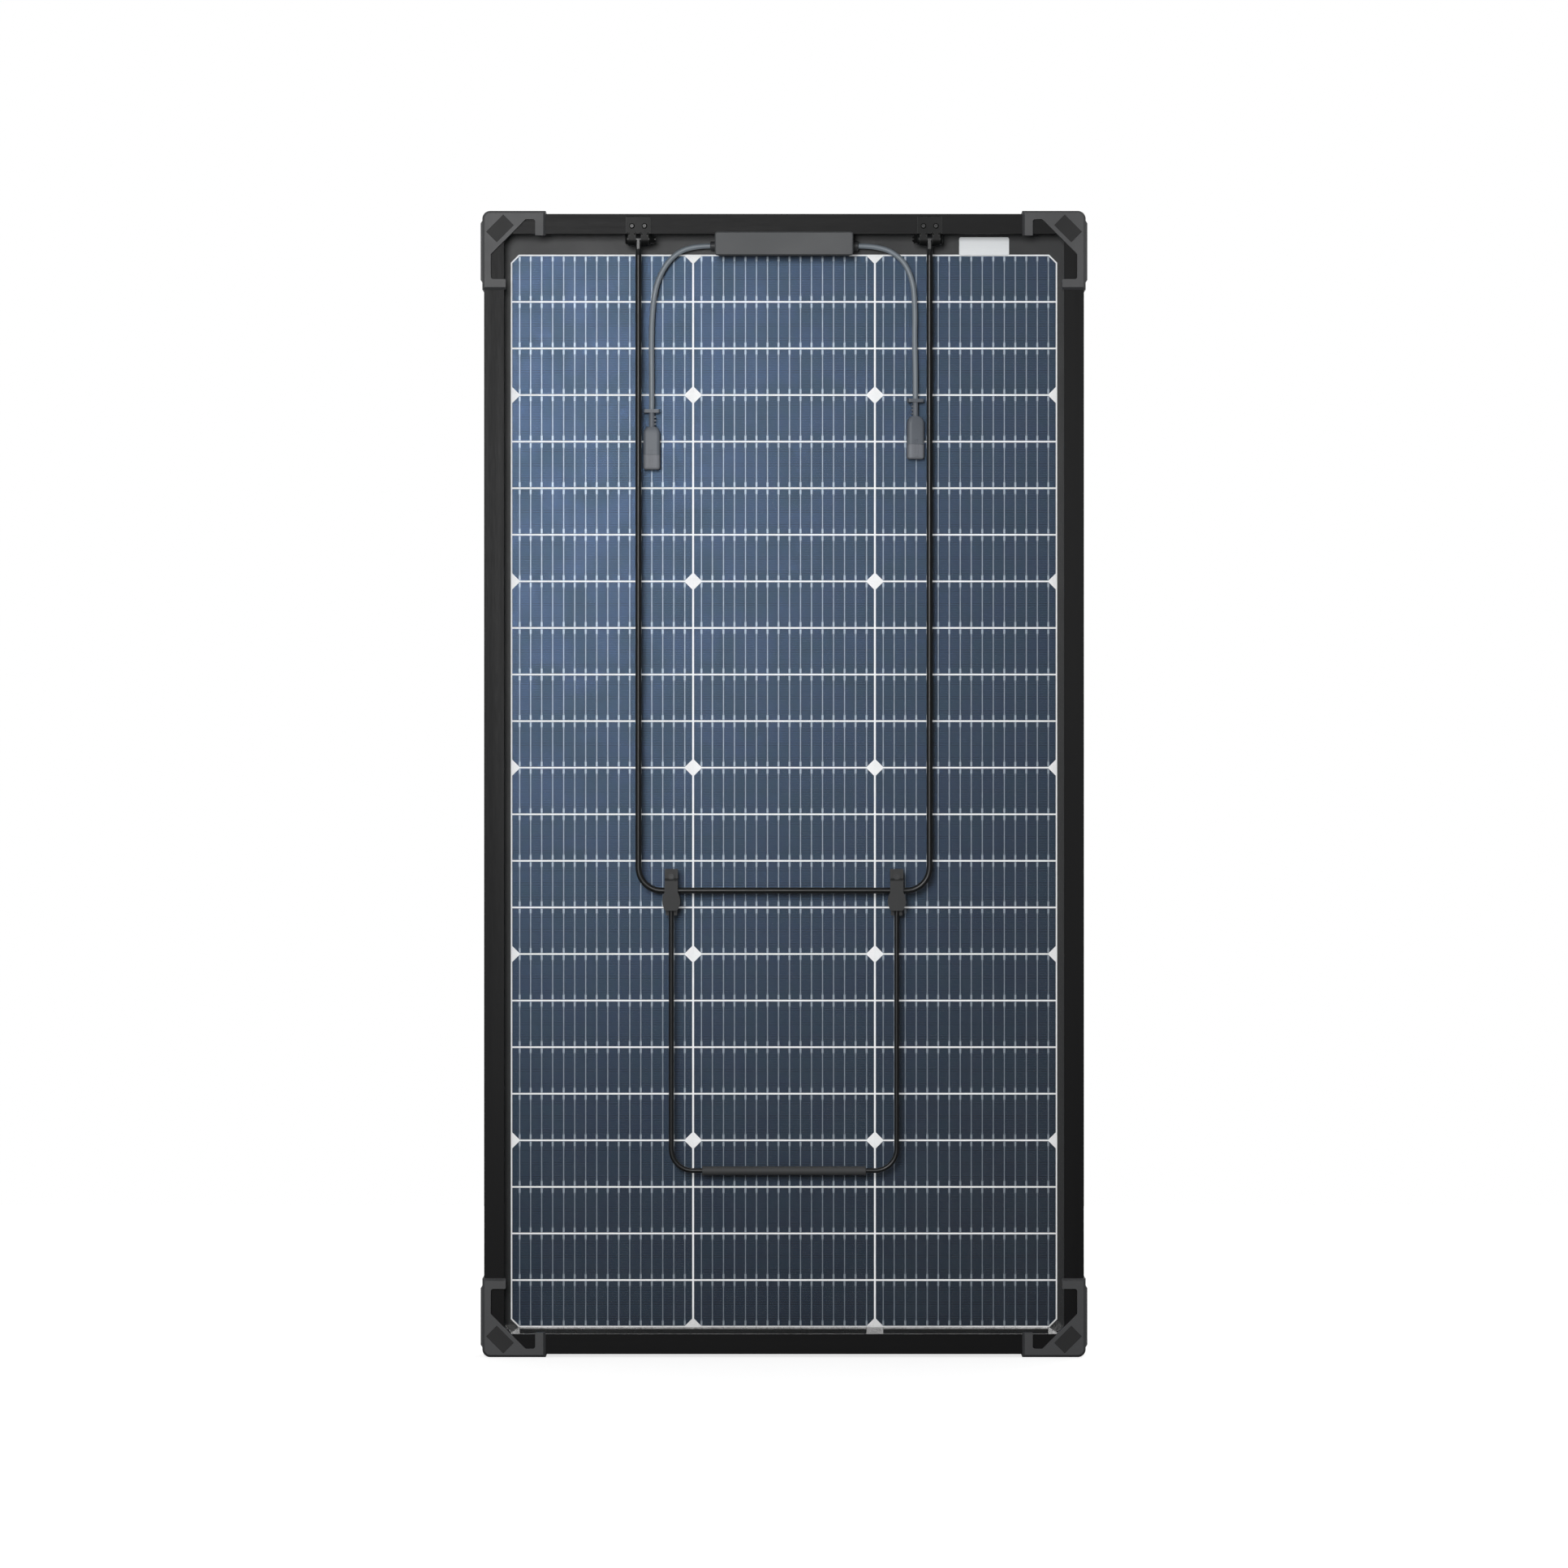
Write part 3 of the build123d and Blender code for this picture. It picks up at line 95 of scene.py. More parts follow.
class PanelStudio(PropertyGroup):
    camera_distance: length("Camera distance", "How far the camera stands from the panel", 4.8)
    camera_lens: FloatProperty(
        name="Lens", description="The camera's focal length", default=109.25, min=20, max=400,
        subtype="DISTANCE_CAMERA",
    )
    key_power: FloatProperty(
        name="Softbox power", description="The soft lamp above the left of the panel's back",
        default=80, min=0, subtype="POWER",
    )
    front_power: FloatProperty(
        name="Front power", description="The soft lamp on the glass side", default=70, min=0,
        subtype="POWER",
    )
    fill: FloatProperty(
        name="Room light", description="Light that comes from all round", default=0.62, min=0, max=2,
    )


class PanelLeads(PropertyGroup):
    lead_diameter: length("Lead diameter", "Diameter over the jacket", 0.0054)
    left_length: length("Left lead", "Real length of the left lead", 0.1996)
    right_length: length("Right lead", "Real length of the right lead", 0.1908)
    jacket: colour("Jacket", "Colour of the leads' jackets", 110, 118, 125)
    connector: colour("Connectors", "Colour of the connector bodies", 92, 97, 104)
    cap: colour("Caps", "Colour of the caps on the connectors", 110, 113, 119)


class PanelCells(PropertyGroup):
    rows: IntProperty(name="Rows", description="Cells in one string", default=23, min=1, max=60)
    bars: IntProperty(name="Busbars", description="Busbars on one cell", default=16, min=1, max=30)
    cell_height: length("Cell height", "Height of one cut cell", 0.0455)
    first_bar: length("First busbar", "From the cell's side edge to its first busbar", 0.0075)
    pad_width: length("Pad width", "Width of the solder pads at the ends of a busbar", 0.0019)
    line_width: length("Line width", "Width of a busbar between its pads", 0.00125)
    pad_length: length("Pad length", "Length of each solder pad", 0.0046)
    taper: length("Taper", "Length over which a pad narrows to the line", 0.0026)
    bar_thickness: length("Bar thickness", "Thickness of the printed busbars", 0.00003)
    finger_pitch: length("Finger pitch", "Spacing of the fine printed fingers", 0.0013)
    silicon: colour("Silicon", "Colour of the cells", 26, 42, 60)
    silver: colour("Busbar", "Colour of the printed busbars", 84, 95, 108)
    pad: colour("Pads", "Colour of the solder pads", 138, 148, 158)
    grid: colour("Grid", "Colour of the printed grid between the cells", 243, 244, 245)
    margin: colour("Margin", "Colour of the dark printed border", 31, 32, 33)


class PanelHardware(PropertyGroup):
    frame: colour("Frame", "Colour of the anodised frame", 9, 9, 10)
    guard: colour("Guards", "Colour of the corner guards", 48, 49, 51)
    pad: colour("Guard pads", "Colour of the pads let into the guards", 20, 20, 21)
    box: colour("Junction box", "Colour of the junction box", 64, 66, 68)
    bracket: colour("Brackets", "Colour of the hinge brackets and their bolts", 12, 13, 13)
    rod: colour("Wire stand", "Colour of the coated wire", 22, 23, 24)
    grip: colour("Grip", "Colour of the rubber sleeve", 56, 57, 58)
    clip: colour("Clips", "Colour of the clips on the stand", 38, 39, 40)
    plate: colour("Plate", "Colour of the blank rating plate", 202, 205, 207)


# --- Node building ---------------------------------------------------------------------------------

# The colour of dust, how much rougher it makes a surface, and how far roughness wanders by itself
DUST_TONE = (0.36, 0.35, 0.33)
DUST_ROUGHNESS = 0.3
ROUGHNESS_SWING = 0.05


def place(tree, kind, **settings):
    """Adds a node. Settings that name one of its sockets set that socket's value."""
    node = tree.nodes.new(kind)
    for key, value in settings.items():
        if hasattr(node, key):
            setattr(node, key, value)
        else:
            node.inputs[key.replace("_", " ")].default_value = value
    return node


def sums(tree, operation, *terms):
    """A Math node on sockets or plain numbers, and its result."""
    node = tree.nodes.new("ShaderNodeMath")
    node.operation = operation
    for socket, term in zip(node.inputs, terms):
        if isinstance(term, bpy.types.NodeSocket):
            tree.links.new(term, socket)
        else:
            socket.default_value = term
    return node.outputs[0]


def ramp(tree, value, low, high, start=0.0, end=1.0, smooth=True):
    """Carries a value from low..high to start..end."""
    node = tree.nodes.new("ShaderNodeMapRange")
    node.interpolation_type = "SMOOTHSTEP" if smooth else "LINEAR"
    tree.links.new(value, node.inputs["Value"])
    for name, number in (("From Min", low), ("From Max", high), ("To Min", start), ("To Max", end)):
        if isinstance(number, bpy.types.NodeSocket):
            tree.links.new(number, node.inputs[name])
        else:
            node.inputs[name].default_value = number
    return node.outputs["Result"]


def tinted(tree, amount, under, over):
    """Lays one colour over another by a mask or a number."""
    node = tree.nodes.new("ShaderNodeMix")
    node.data_type = "RGBA"
    factor, under_colour, over_colour = node.inputs[0], node.inputs[6], node.inputs[7]
    for socket, term in ((factor, amount), (under_colour, under), (over_colour, over)):
        if isinstance(term, bpy.types.NodeSocket):
            tree.links.new(term, socket)
        elif isinstance(term, (int, float)):
            socket.default_value = term
        else:
            socket.default_value = (*term[:3], 1)
    return node.outputs[2]


def start_group(name, inputs, outputs):
    """A new node group with its named sockets, and the nodes that stand for them inside it."""
    group = bpy.data.node_groups.new(name, "ShaderNodeTree")
    for label, kind, default in inputs:
        socket = group.interface.new_socket(label, in_out="INPUT", socket_type=kind)
        socket.default_value = default
    for label, kind in outputs:
        group.interface.new_socket(label, in_out="OUTPUT", socket_type=kind)
    return group, group.nodes.new("NodeGroupInput"), group.nodes.new("NodeGroupOutput")


def surface_grain():
    """Fine relief and a slow change of tone. A small Stretch on an axis draws the grain out along it."""
    group, given, result = start_group(
        "Surface Grain",
        [("Scale", "NodeSocketFloat", 2000.0), ("Stretch", "NodeSocketVector", (1, 1, 1)),
         ("Patches", "NodeSocketFloat", 14.0)],
        [("Height", "NodeSocketFloat"), ("Tone", "NodeSocketFloat")],
    )
    where = place(group, "ShaderNodeTexCoord")
    drawn = place(group, "ShaderNodeMapping", vector_type="POINT")
    fine = place(group, "ShaderNodeTexNoise", Detail=3.0, Roughness=0.55)
    slow = place(group, "ShaderNodeTexNoise", Detail=4.0, Roughness=0.6)
    link = group.links.new
    link(where.outputs["Object"], drawn.inputs["Vector"])
    link(given.outputs["Stretch"], drawn.inputs["Scale"])
    link(drawn.outputs[0], fine.inputs["Vector"])
    link(given.outputs["Scale"], fine.inputs["Scale"])
    link(drawn.outputs[0], slow.inputs["Vector"])
    link(given.outputs["Patches"], slow.inputs["Scale"])
    link(fine.outputs[0], result.inputs["Height"])
    fine_tone = sums(group, "MULTIPLY", fine.outputs[0], 0.45)
    slow_tone = sums(group, "MULTIPLY", slow.outputs[0], 0.55)
    tone = sums(group, "ADD", fine_tone, slow_tone)
    link(ramp(group, tone, 0.34, 0.66), result.inputs["Tone"])
    return group


def worn_highlit_edge():
    """A mask of the edges, lightened partly as handling wear and partly as a painted highlight, broken
    up so that no edge is even.
    """
    group, given, result = start_group(
        "Worn Edge And Painted Highlight",
        [("Width", "NodeSocketFloat", 0.0008), ("Amount", "NodeSocketFloat", 0.6)],
        [("Mask", "NodeSocketFloat")],
    )
    rounded = place(group, "ShaderNodeBevel", samples=6)
    true = place(group, "ShaderNodeNewGeometry")
    angle = place(group, "ShaderNodeVectorMath", operation="DOT_PRODUCT")
    where = place(group, "ShaderNodeTexCoord")
    breaks = place(group, "ShaderNodeTexNoise", Scale=160.0, Detail=4.0)
    link = group.links.new
    link(given.outputs["Width"], rounded.inputs["Radius"])
    link(rounded.outputs[0], angle.inputs[0])
    link(true.outputs["True Normal"], angle.inputs[1])
    link(where.outputs["Object"], breaks.inputs["Vector"])
    edge = ramp(group, angle.outputs["Value"], 0.99, 0.86)
    uneven = ramp(group, breaks.outputs[0], 0.3, 0.7, 0.55, 1.0)
    amount = sums(group, "MULTIPLY", given.outputs["Amount"], uneven)
    link(sums(group, "MULTIPLY", edge, amount), result.inputs["Mask"])
    return group


def settled_dust():
    """A mask of the dust that lies on faces that look up."""
    group, given, result = start_group(
        "Settled Dust",
        [("Amount", "NodeSocketFloat", 0.1)],
        [("Mask", "NodeSocketFloat")],
    )
    facing = place(group, "ShaderNodeNewGeometry")
    parts = place(group, "ShaderNodeSeparateXYZ")
    where = place(group, "ShaderNodeTexCoord")
    specks = place(group, "ShaderNodeTexNoise", Scale=420.0, Detail=5.0, Roughness=0.7)
    link = group.links.new
    link(facing.outputs["Normal"], parts.inputs[0])
    link(where.outputs["Object"], specks.inputs["Vector"])
    up = ramp(group, parts.outputs["Z"], 0.2, 1.0)
    speckled = ramp(group, specks.outputs[0], 0.42, 0.68)
    spread = sums(group, "MULTIPLY", up, speckled)
    link(sums(group, "MULTIPLY", spread, given.outputs["Amount"]), result.inputs["Mask"])
    return group


def printed_line():
    """A mask of thin parallel lines, one every Pitch along Place, the first half a pitch past Start."""
    group, given, result = start_group(
        "Printed Line",
        [("Place", "NodeSocketFloat", 0.0), ("Pitch", "NodeSocketFloat", 0.0013),
         ("Width", "NodeSocketFloat", 0.0003), ("Start", "NodeSocketFloat", 0.0)],
        [("Mask", "NodeSocketFloat")],
    )
    along = sums(group, "SUBTRACT", given.outputs["Place"], given.outputs["Start"])
    count = sums(group, "DIVIDE", along, given.outputs["Pitch"])
    part = sums(group, "FRACT", count)
    off_centre = sums(group, "ABSOLUTE", sums(group, "SUBTRACT", part, 0.5))
    distance = sums(group, "MULTIPLY", off_centre, given.outputs["Pitch"])
    outer = sums(group, "MULTIPLY", given.outputs["Width"], 0.75)
    inner = sums(group, "MULTIPLY", given.outputs["Width"], 0.25)
    group.links.new(ramp(group, distance, outer, inner), result.inputs["Mask"])
    return group


def shared(name):
    """A shared effect, built the first time that a material asks for it."""
    makers = {
        "Surface Grain": surface_grain,
        "Worn Edge And Painted Highlight": worn_highlit_edge,
        "Settled Dust": settled_dust,
        "Printed Line": printed_line,
    }
    return bpy.data.node_groups.get(name) or makers[name]()


def use_group(tree, name, **values):
    """Places a shared effect in a material, with that material's own values."""
    node = tree.nodes.new("ShaderNodeGroup")
    node.node_tree = shared(name)
    for key, value in values.items():
        node.inputs[key].default_value = value
    return node


def start_material(name, **shader_values):
    """A new material with its shader, the shader's constants set on its own sockets."""
    material = bpy.data.materials.new(name)
    material.use_nodes = True
    tree = material.node_tree
    shader = tree.nodes["Principled BSDF"]
    for key, value in shader_values.items():
        shader.inputs[key.replace("_", " ")].default_value = value
    return material, tree, shader


def lighter(tone, factor):
    """A colour scaled up, or down for a factor under 1, and never past white."""
    return tuple(min(1.0, part * factor) for part in tone)


def finish_for(
    name, tone, roughness, *, grain=2000.0, stretch=(1, 1, 1), patches=14.0, relief=0.12, depth=0.0002,
    mottle=0.1, edge=2.2, edge_width=0.0007, edge_amount=0.5, dust=0.06, **shader_values,
):
    """A solid finish: toned base, grain, edges painted lighter as wear and as a painted highlight, and a
    little dust.
    """
    material, tree, shader = start_material(name, **shader_values)
    link = tree.links.new
    grained = use_group(tree, "Surface Grain", Scale=grain, Stretch=stretch, Patches=patches)
    edge_wear_and_highlight = use_group(tree, "Worn Edge And Painted Highlight", Width=edge_width, Amount=edge_amount)
    dusty = use_group(tree, "Settled Dust", Amount=dust)
    darkest, palest = lighter(tone, 1 - mottle), lighter(tone, 1 + mottle)
    toned = tinted(tree, grained.outputs["Tone"], darkest, palest)
    # Edges are lightened by the edge factor: partly handling wear, partly a painted highlight, and
    # mostly painted highlight where the factor is high
    worn_and_highlit = tinted(tree, edge_wear_and_highlight.outputs[0], toned, lighter(tone, edge))
    link(tinted(tree, dusty.outputs[0], worn_and_highlit, DUST_TONE), shader.inputs["Base Color"])
    low, high = roughness - ROUGHNESS_SWING, min(1.0, roughness + ROUGHNESS_SWING)
    rough = ramp(tree, grained.outputs["Tone"], 0, 1, low, high, smooth=False)
    dulled = sums(tree, "MULTIPLY", dusty.outputs[0], DUST_ROUGHNESS)
    link(sums(tree, "ADD", rough, dulled), shader.inputs["Roughness"])
    bump = place(tree, "ShaderNodeBump", Strength=relief, Distance=depth)
    link(grained.outputs["Height"], bump.inputs["Height"])
    link(bump.outputs[0], shader.inputs["Normal"])
    return material


def clear_finish(name, tone, alpha, roughness, ior):
    """A clear layer: mostly see-through, with a faint wipe pattern in its tone and gloss."""
    material, tree, shader = start_material(name, Alpha=alpha, IOR=ior)
    link = tree.links.new
    wiped = use_group(tree, "Surface Grain", Scale=90.0, Stretch=(1.0, 1.0, 0.35), Patches=6.0)
    link(tinted(tree, wiped.outputs["Tone"], tone, lighter(tone, 1.3)), shader.inputs["Base Color"])
    streaked = roughness * 1.25
    link(ramp(tree, wiped.outputs["Tone"], 0, 1, roughness, streaked), shader.inputs["Roughness"])
    return material


def dress(names, material):
    """Gives CAD nodes a material in the slots that they have."""
    for name in names.split():
        piece = frame["nodes"][name]
        if not piece.material_slots:
            raise RuntimeError(f"{name} has no material slot")
        for slot in piece.material_slots:
            slot.material = material


def link_piece(name, data):
    """Puts new data into the scene as an object."""
    piece = bpy.data.objects.new(name, data)
    bpy.context.scene.collection.objects.link(piece)
    return piece


# --- The studio ------------------------------------------------------------------------------------

# Where the two soft lamps stand and how wide they are, in metres
BACK_LAMP = {"location": (-0.6, -3.6, 1.25), "width": 1.1}
GLASS_LAMP = {"location": (1.6, 3.2, 2.6), "width": 2.0}
FLOOR_HALF = 1.7
FLOOR_DROP = 0.0005


def soft_lamp(name, location, target, width, power):
    """A square soft lamp that faces a target."""
    lamp = bpy.data.lights.new(name, "AREA")
    lamp.shape = "SQUARE"
    lamp.size = width
    lamp.energy = power
    holder = link_piece(name, lamp)
    holder.location = location
    holder.rotation_euler = (target - holder.location).to_track_quat("-Z", "Y").to_euler()


def meets_white(tree, path, behind):
    """How far a ray meets the white background: seen, through a clear layer or mirrored behind."""
    glossy = sums(tree, "MULTIPLY", path.outputs["Is Glossy Ray"], behind)
    seen = sums(tree, "MAXIMUM", path.outputs["Is Camera Ray"], path.outputs["Is Transmission Ray"])
    return sums(tree, "MAXIMUM", seen, glossy)


def room(fill):
    """White to the camera and behind the panel, an even room elsewhere that mirrors only dimly."""
    world = bpy.data.worlds.new("Room")
    bpy.context.scene.world = world
    world.use_nodes = True
    tree = world.node_tree
    tree.nodes.clear()
    path = place(tree, "ShaderNodeLightPath")
    direction = place(tree, "ShaderNodeTexCoord")
    parts = place(tree, "ShaderNodeSeparateXYZ")
    dim = place(tree, "ShaderNodeBackground", Color=(1, 1, 1, 1))
    white = place(tree, "ShaderNodeBackground", Color=(1, 1, 1, 1), Strength=1.0)
    mixed = place(tree, "ShaderNodeMixShader")
    end = place(tree, "ShaderNodeOutputWorld")
    link = tree.links.new
    link(direction.outputs["Generated"], parts.inputs[0])
    mirrored = fill / 14
    link(ramp(tree, path.outputs["Is Glossy Ray"], 0, 1, fill, mirrored), dim.inputs["Strength"])
    link(meets_white(tree, path, ramp(tree, parts.outputs["Y"], -0.3, 0.2)), mixed.inputs[0])
    link(dim.outputs[0], mixed.inputs[1])
    link(white.outputs[0], mixed.inputs[2])
    link(mixed.outputs[0], end.inputs["Surface"])


def floor_material():
    """A pale floor that the camera sees as white, apart from the panel's soft shadow near its foot."""
    material, tree, shader = start_material("Floor", Roughness=0.9, Specular_IOR_Level=0.1)
    link = tree.links.new
    path = place(tree, "ShaderNodeLightPath")
    where = place(tree, "ShaderNodeTexCoord")
    parts = place(tree, "ShaderNodeSeparateXYZ")
    reach = place(tree, "ShaderNodeVectorMath", operation="LENGTH")
    mottled = place(tree, "ShaderNodeTexNoise", Scale=3.0, Detail=3.0)
    glow = place(tree, "ShaderNodeEmission", Color=(1, 1, 1, 1))
    both = place(tree, "ShaderNodeAddShader")
    mixed = place(tree, "ShaderNodeMixShader")
    link(where.outputs["Object"], reach.inputs[0])
    link(where.outputs["Object"], parts.inputs[0])
    link(where.outputs["Object"], mottled.inputs["Vector"])
    pale = tinted(tree, mottled.outputs[0], (0.40, 0.40, 0.40), (0.43, 0.43, 0.43))
    dull = tinted(tree, path.outputs["Is Glossy Ray"], pale, (0.04, 0.04, 0.04))
    link(dull, shader.inputs["Base Color"])
    link(ramp(tree, reach.outputs["Value"], 0.5, 1.6, 0.74, 1.0), glow.inputs["Strength"])
    link(shader.outputs[0], both.inputs[0])
    link(glow.outputs[0], both.inputs[1])
    link(meets_white(tree, path, ramp(tree, parts.outputs["Y"], 0.0, 0.6)), mixed.inputs[0])
    link(shader.outputs[0], mixed.inputs[1])
    link(both.outputs[0], mixed.inputs[2])
    link(mixed.outputs[0], tree.nodes["Material Output"].inputs["Surface"])
    return material


class SOLARPANEL_OT_stage(Operator):
    """Set up the camera, the soft lamps, the pale floor and the white room"""

    bl_idname = "solarpanel.stage"
    bl_label = "Stage"

    def execute(self, context):
        studio = context.scene.panel_studio
        low, high = cad_box
        middle = (low + high) / 2
        camera = bpy.data.cameras.new("Camera")
        camera.sensor_width = 36
        camera.lens = studio.camera_lens
        camera.clip_end = 100
        holder = link_piece("Camera", camera)
        holder.location = (0, -studio.camera_distance, middle.z)
        holder.rotation_euler = (math.radians(90), 0, 0)
        context.scene.camera = holder

        soft_lamp("Softbox", target=middle, power=studio.key_power, **BACK_LAMP)
        soft_lamp("Front softbox", target=middle, power=studio.front_power, **GLASS_LAMP)
        room(studio.fill)

        sheet = bmesh.new()
        bmesh.ops.create_grid(sheet, x_segments=8, y_segments=8, size=FLOOR_HALF)
        data = bpy.data.meshes.new("Floor")
        sheet.to_mesh(data)
        sheet.free()
        floor = link_piece("Floor", data)
        floor.location.z = low.z - FLOOR_DROP
        data.materials.append(floor_material())
        context.scene.view_settings.view_transform = "Standard"
        return {"FINISHED"}


# --- Leads and connectors --------------------------------------------------------------------------

# Each lead's route outward and upward from the mouth of its gland to the top of its collar, in metres
ROUTES = {
    "left": [
        (0.0, 0.0), (0.0196, 0.0), (0.0396, -0.011), (0.0536, -0.034), (0.0586, -0.063),
        (0.0595, -0.098), (0.0591, -0.132), (0.0591, -0.165),
    ],
    "right": [
        (0.0, 0.0), (0.021, 0.0), (0.043, -0.011), (0.055, -0.033), (0.0573, -0.063),
        (0.0567, -0.095), (0.0576, -0.1248), (0.0576, -0.1544),
    ],
}


def lead_jacket(name, route, diameter, material):
    """A round jacket along a smooth curve that the route's points pull into shape."""
    curve = bpy.data.curves.new(name, "CURVE")
    curve.dimensions = "3D"
    curve.resolution_u = 24
    curve.bevel_depth = diameter / 2
    curve.bevel_resolution = 6
    curve.use_fill_caps = True
    line = curve.splines.new("NURBS")
    line.points.add(len(route) - 1)
    for point, where in zip(line.points, route):
        point.co = (*where, 1)
    line.order_u = 3
    line.use_endpoint_u = True
    curve.materials.append(material)
    return link_piece(name, curve)


class SOLARPANEL_OT_leads(Operator):
    """Make the two leads and finish the connectors and caps that hang on them"""

    bl_idname = "solarpanel.leads"
    bl_label = "Leads and Connectors"

    def execute(self, context):
        leads = context.scene.panel_leads
        jacket = finish_for(
            "Lead Jacket", leads.jacket, 0.42, grain=1500, relief=0.08, mottle=0.05, edge_amount=0,
            dust=0.02, Specular_IOR_Level=0.45, Coat_Weight=0.08, Coat_Roughness=0.3,
        )
        for side, way in (("left", -1), ("right", 1)):
            low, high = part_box(f"cable_gland_{side}")
            end = low.x if way < 0 else high.x
            mouth = Vector((end, (low.y + high.y) / 2, (low.z + high.z) / 2))
            route = [(mouth.x + way * out, mouth.y, mouth.z + up) for out, up in ROUTES[side]]
            lead = lead_jacket(f"lead_{side}_jacket", route, leads.lead_diameter, jacket)
            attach(lead, "root")
            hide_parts(f"lead_{side}")
        connector = finish_for(
            "Connector Nylon", leads.connector, 0.5, grain=2600, relief=0.15, edge=1.9,
            edge_width=0.0005, edge_amount=0.55, Specular_IOR_Level=0.4,
        )
        cap = finish_for(
            "Cap Rubber", leads.cap, 0.56, grain=2200, relief=0.18, edge=1.7, edge_width=0.0005,
            edge_amount=0.4, Specular_IOR_Level=0.35,
        )
        tinned = finish_for(
            "Tinned Copper", (0.62, 0.60, 0.56), 0.28, grain=900, stretch=(6, 6, 1), relief=0.06,
            edge=1.2, dust=0, Metallic=0.95,
        )
        dress("connector_collar_left connector_collar_right connector_shell_left "
              "connector_shell_right", connector)
        dress("dust_cap_left dust_cap_right", cap)
        dress("contact_left contact_right terminals", tinned)
        return {"FINISHED"}


# --- The laminate ----------------------------------------------------------------------------------


# How far a solder pad stays inside its cell's edge, and the wires on the glass side
PAD_INSET = 0.0005
RIBBON_RADIUS = 0.00015
RIBBON_PAST_CELLS = 0.003
RIBBON_SIDES = 8


def bar_places(low, high, look):
    """Where a string's busbars stand across its width."""
    step = (high.x - low.x - 2 * look.first_bar) / (look.bars - 1)
    return [low.x + look.first_bar + bar * step for bar in range(look.bars)]


def closed_bar(work, outlines):
    """Joins outlines of points into one closed bar. Gives the faces between them, stretch by stretch."""
    rings = [[work.verts.new(spot) for spot in outline] for outline in outlines]
    work.faces.new(rings[0][::-1])
    work.faces.new(rings[-1])
    stretches = []
    for under, over in zip(rings, rings[1:]):
        turned = zip(under, under[1:] + under[:1], over[1:] + over[:1], over)
        stretches.append([work.faces.new(corners) for corners in turned])
    return stretches


def piece_from(name, work, materials):
    """Turns finished mesh work into a piece with its materials."""
    bmesh.ops.recalc_face_normals(work, faces=work.faces)
    data = bpy.data.meshes.new(name)
    work.to_mesh(data)
    work.free()
    for material in materials:
        data.materials.append(material)
    return link_piece(name, data)


def busbars(name, cells, look, materials):
    """Printed busbars on both faces of a string, each with a solder pad at both ends of every cell."""
    low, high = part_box(cells)
    pitch = (high.z - low.z - look.cell_height) / (look.rows - 1)
    pad, line = look.pad_width / 2, look.line_width / 2
    pad_end = look.pad_length + look.taper
    faces = ((low.y - look.bar_thickness, low.y), (high.y, high.y + look.bar_thickness))
    work = bmesh.new()
    for row in range(look.rows):
        foot = low.z + row * pitch + PAD_INSET
        head = foot + look.cell_height - 2 * PAD_INSET
        levels = (
            (foot, pad), (foot + look.pad_length, pad), (foot + pad_end, line),
            (head - pad_end, line), (head - look.pad_length, pad), (head, pad),
        )
        for x in bar_places(low, high, look):
            for back, front in faces:
                corners = ((-1, back), (1, back), (1, front), (-1, front))
                outlines = [[(x + way * half, y, z) for way, y in corners] for z, half in levels]
                stretches = closed_bar(work, outlines)
                for side in stretches[0] + stretches[-1]:
                    side.material_index = 1
    return piece_from(name, work, materials)


def front_ribbons(name, cells, look, material):
    """The round wires soldered along the glass side of a string."""
    low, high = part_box(cells)
    y = high.y + look.bar_thickness + RIBBON_RADIUS * 0.8
    turns = [math.tau * turn / RIBBON_SIDES for turn in range(RIBBON_SIDES)]
    circle = [(RIBBON_RADIUS * math.cos(turn), RIBBON_RADIUS * math.sin(turn)) for turn in turns]
    ends = (low.z - RIBBON_PAST_CELLS, high.z + RIBBON_PAST_CELLS)
    work = bmesh.new()
    for x in bar_places(low, high, look):
        outlines = [[(x + across, y + deep, z) for across, deep in circle] for z in ends]
        for side in closed_bar(work, outlines)[0]:
            side.smooth = True
    return piece_from(name, work, [material])


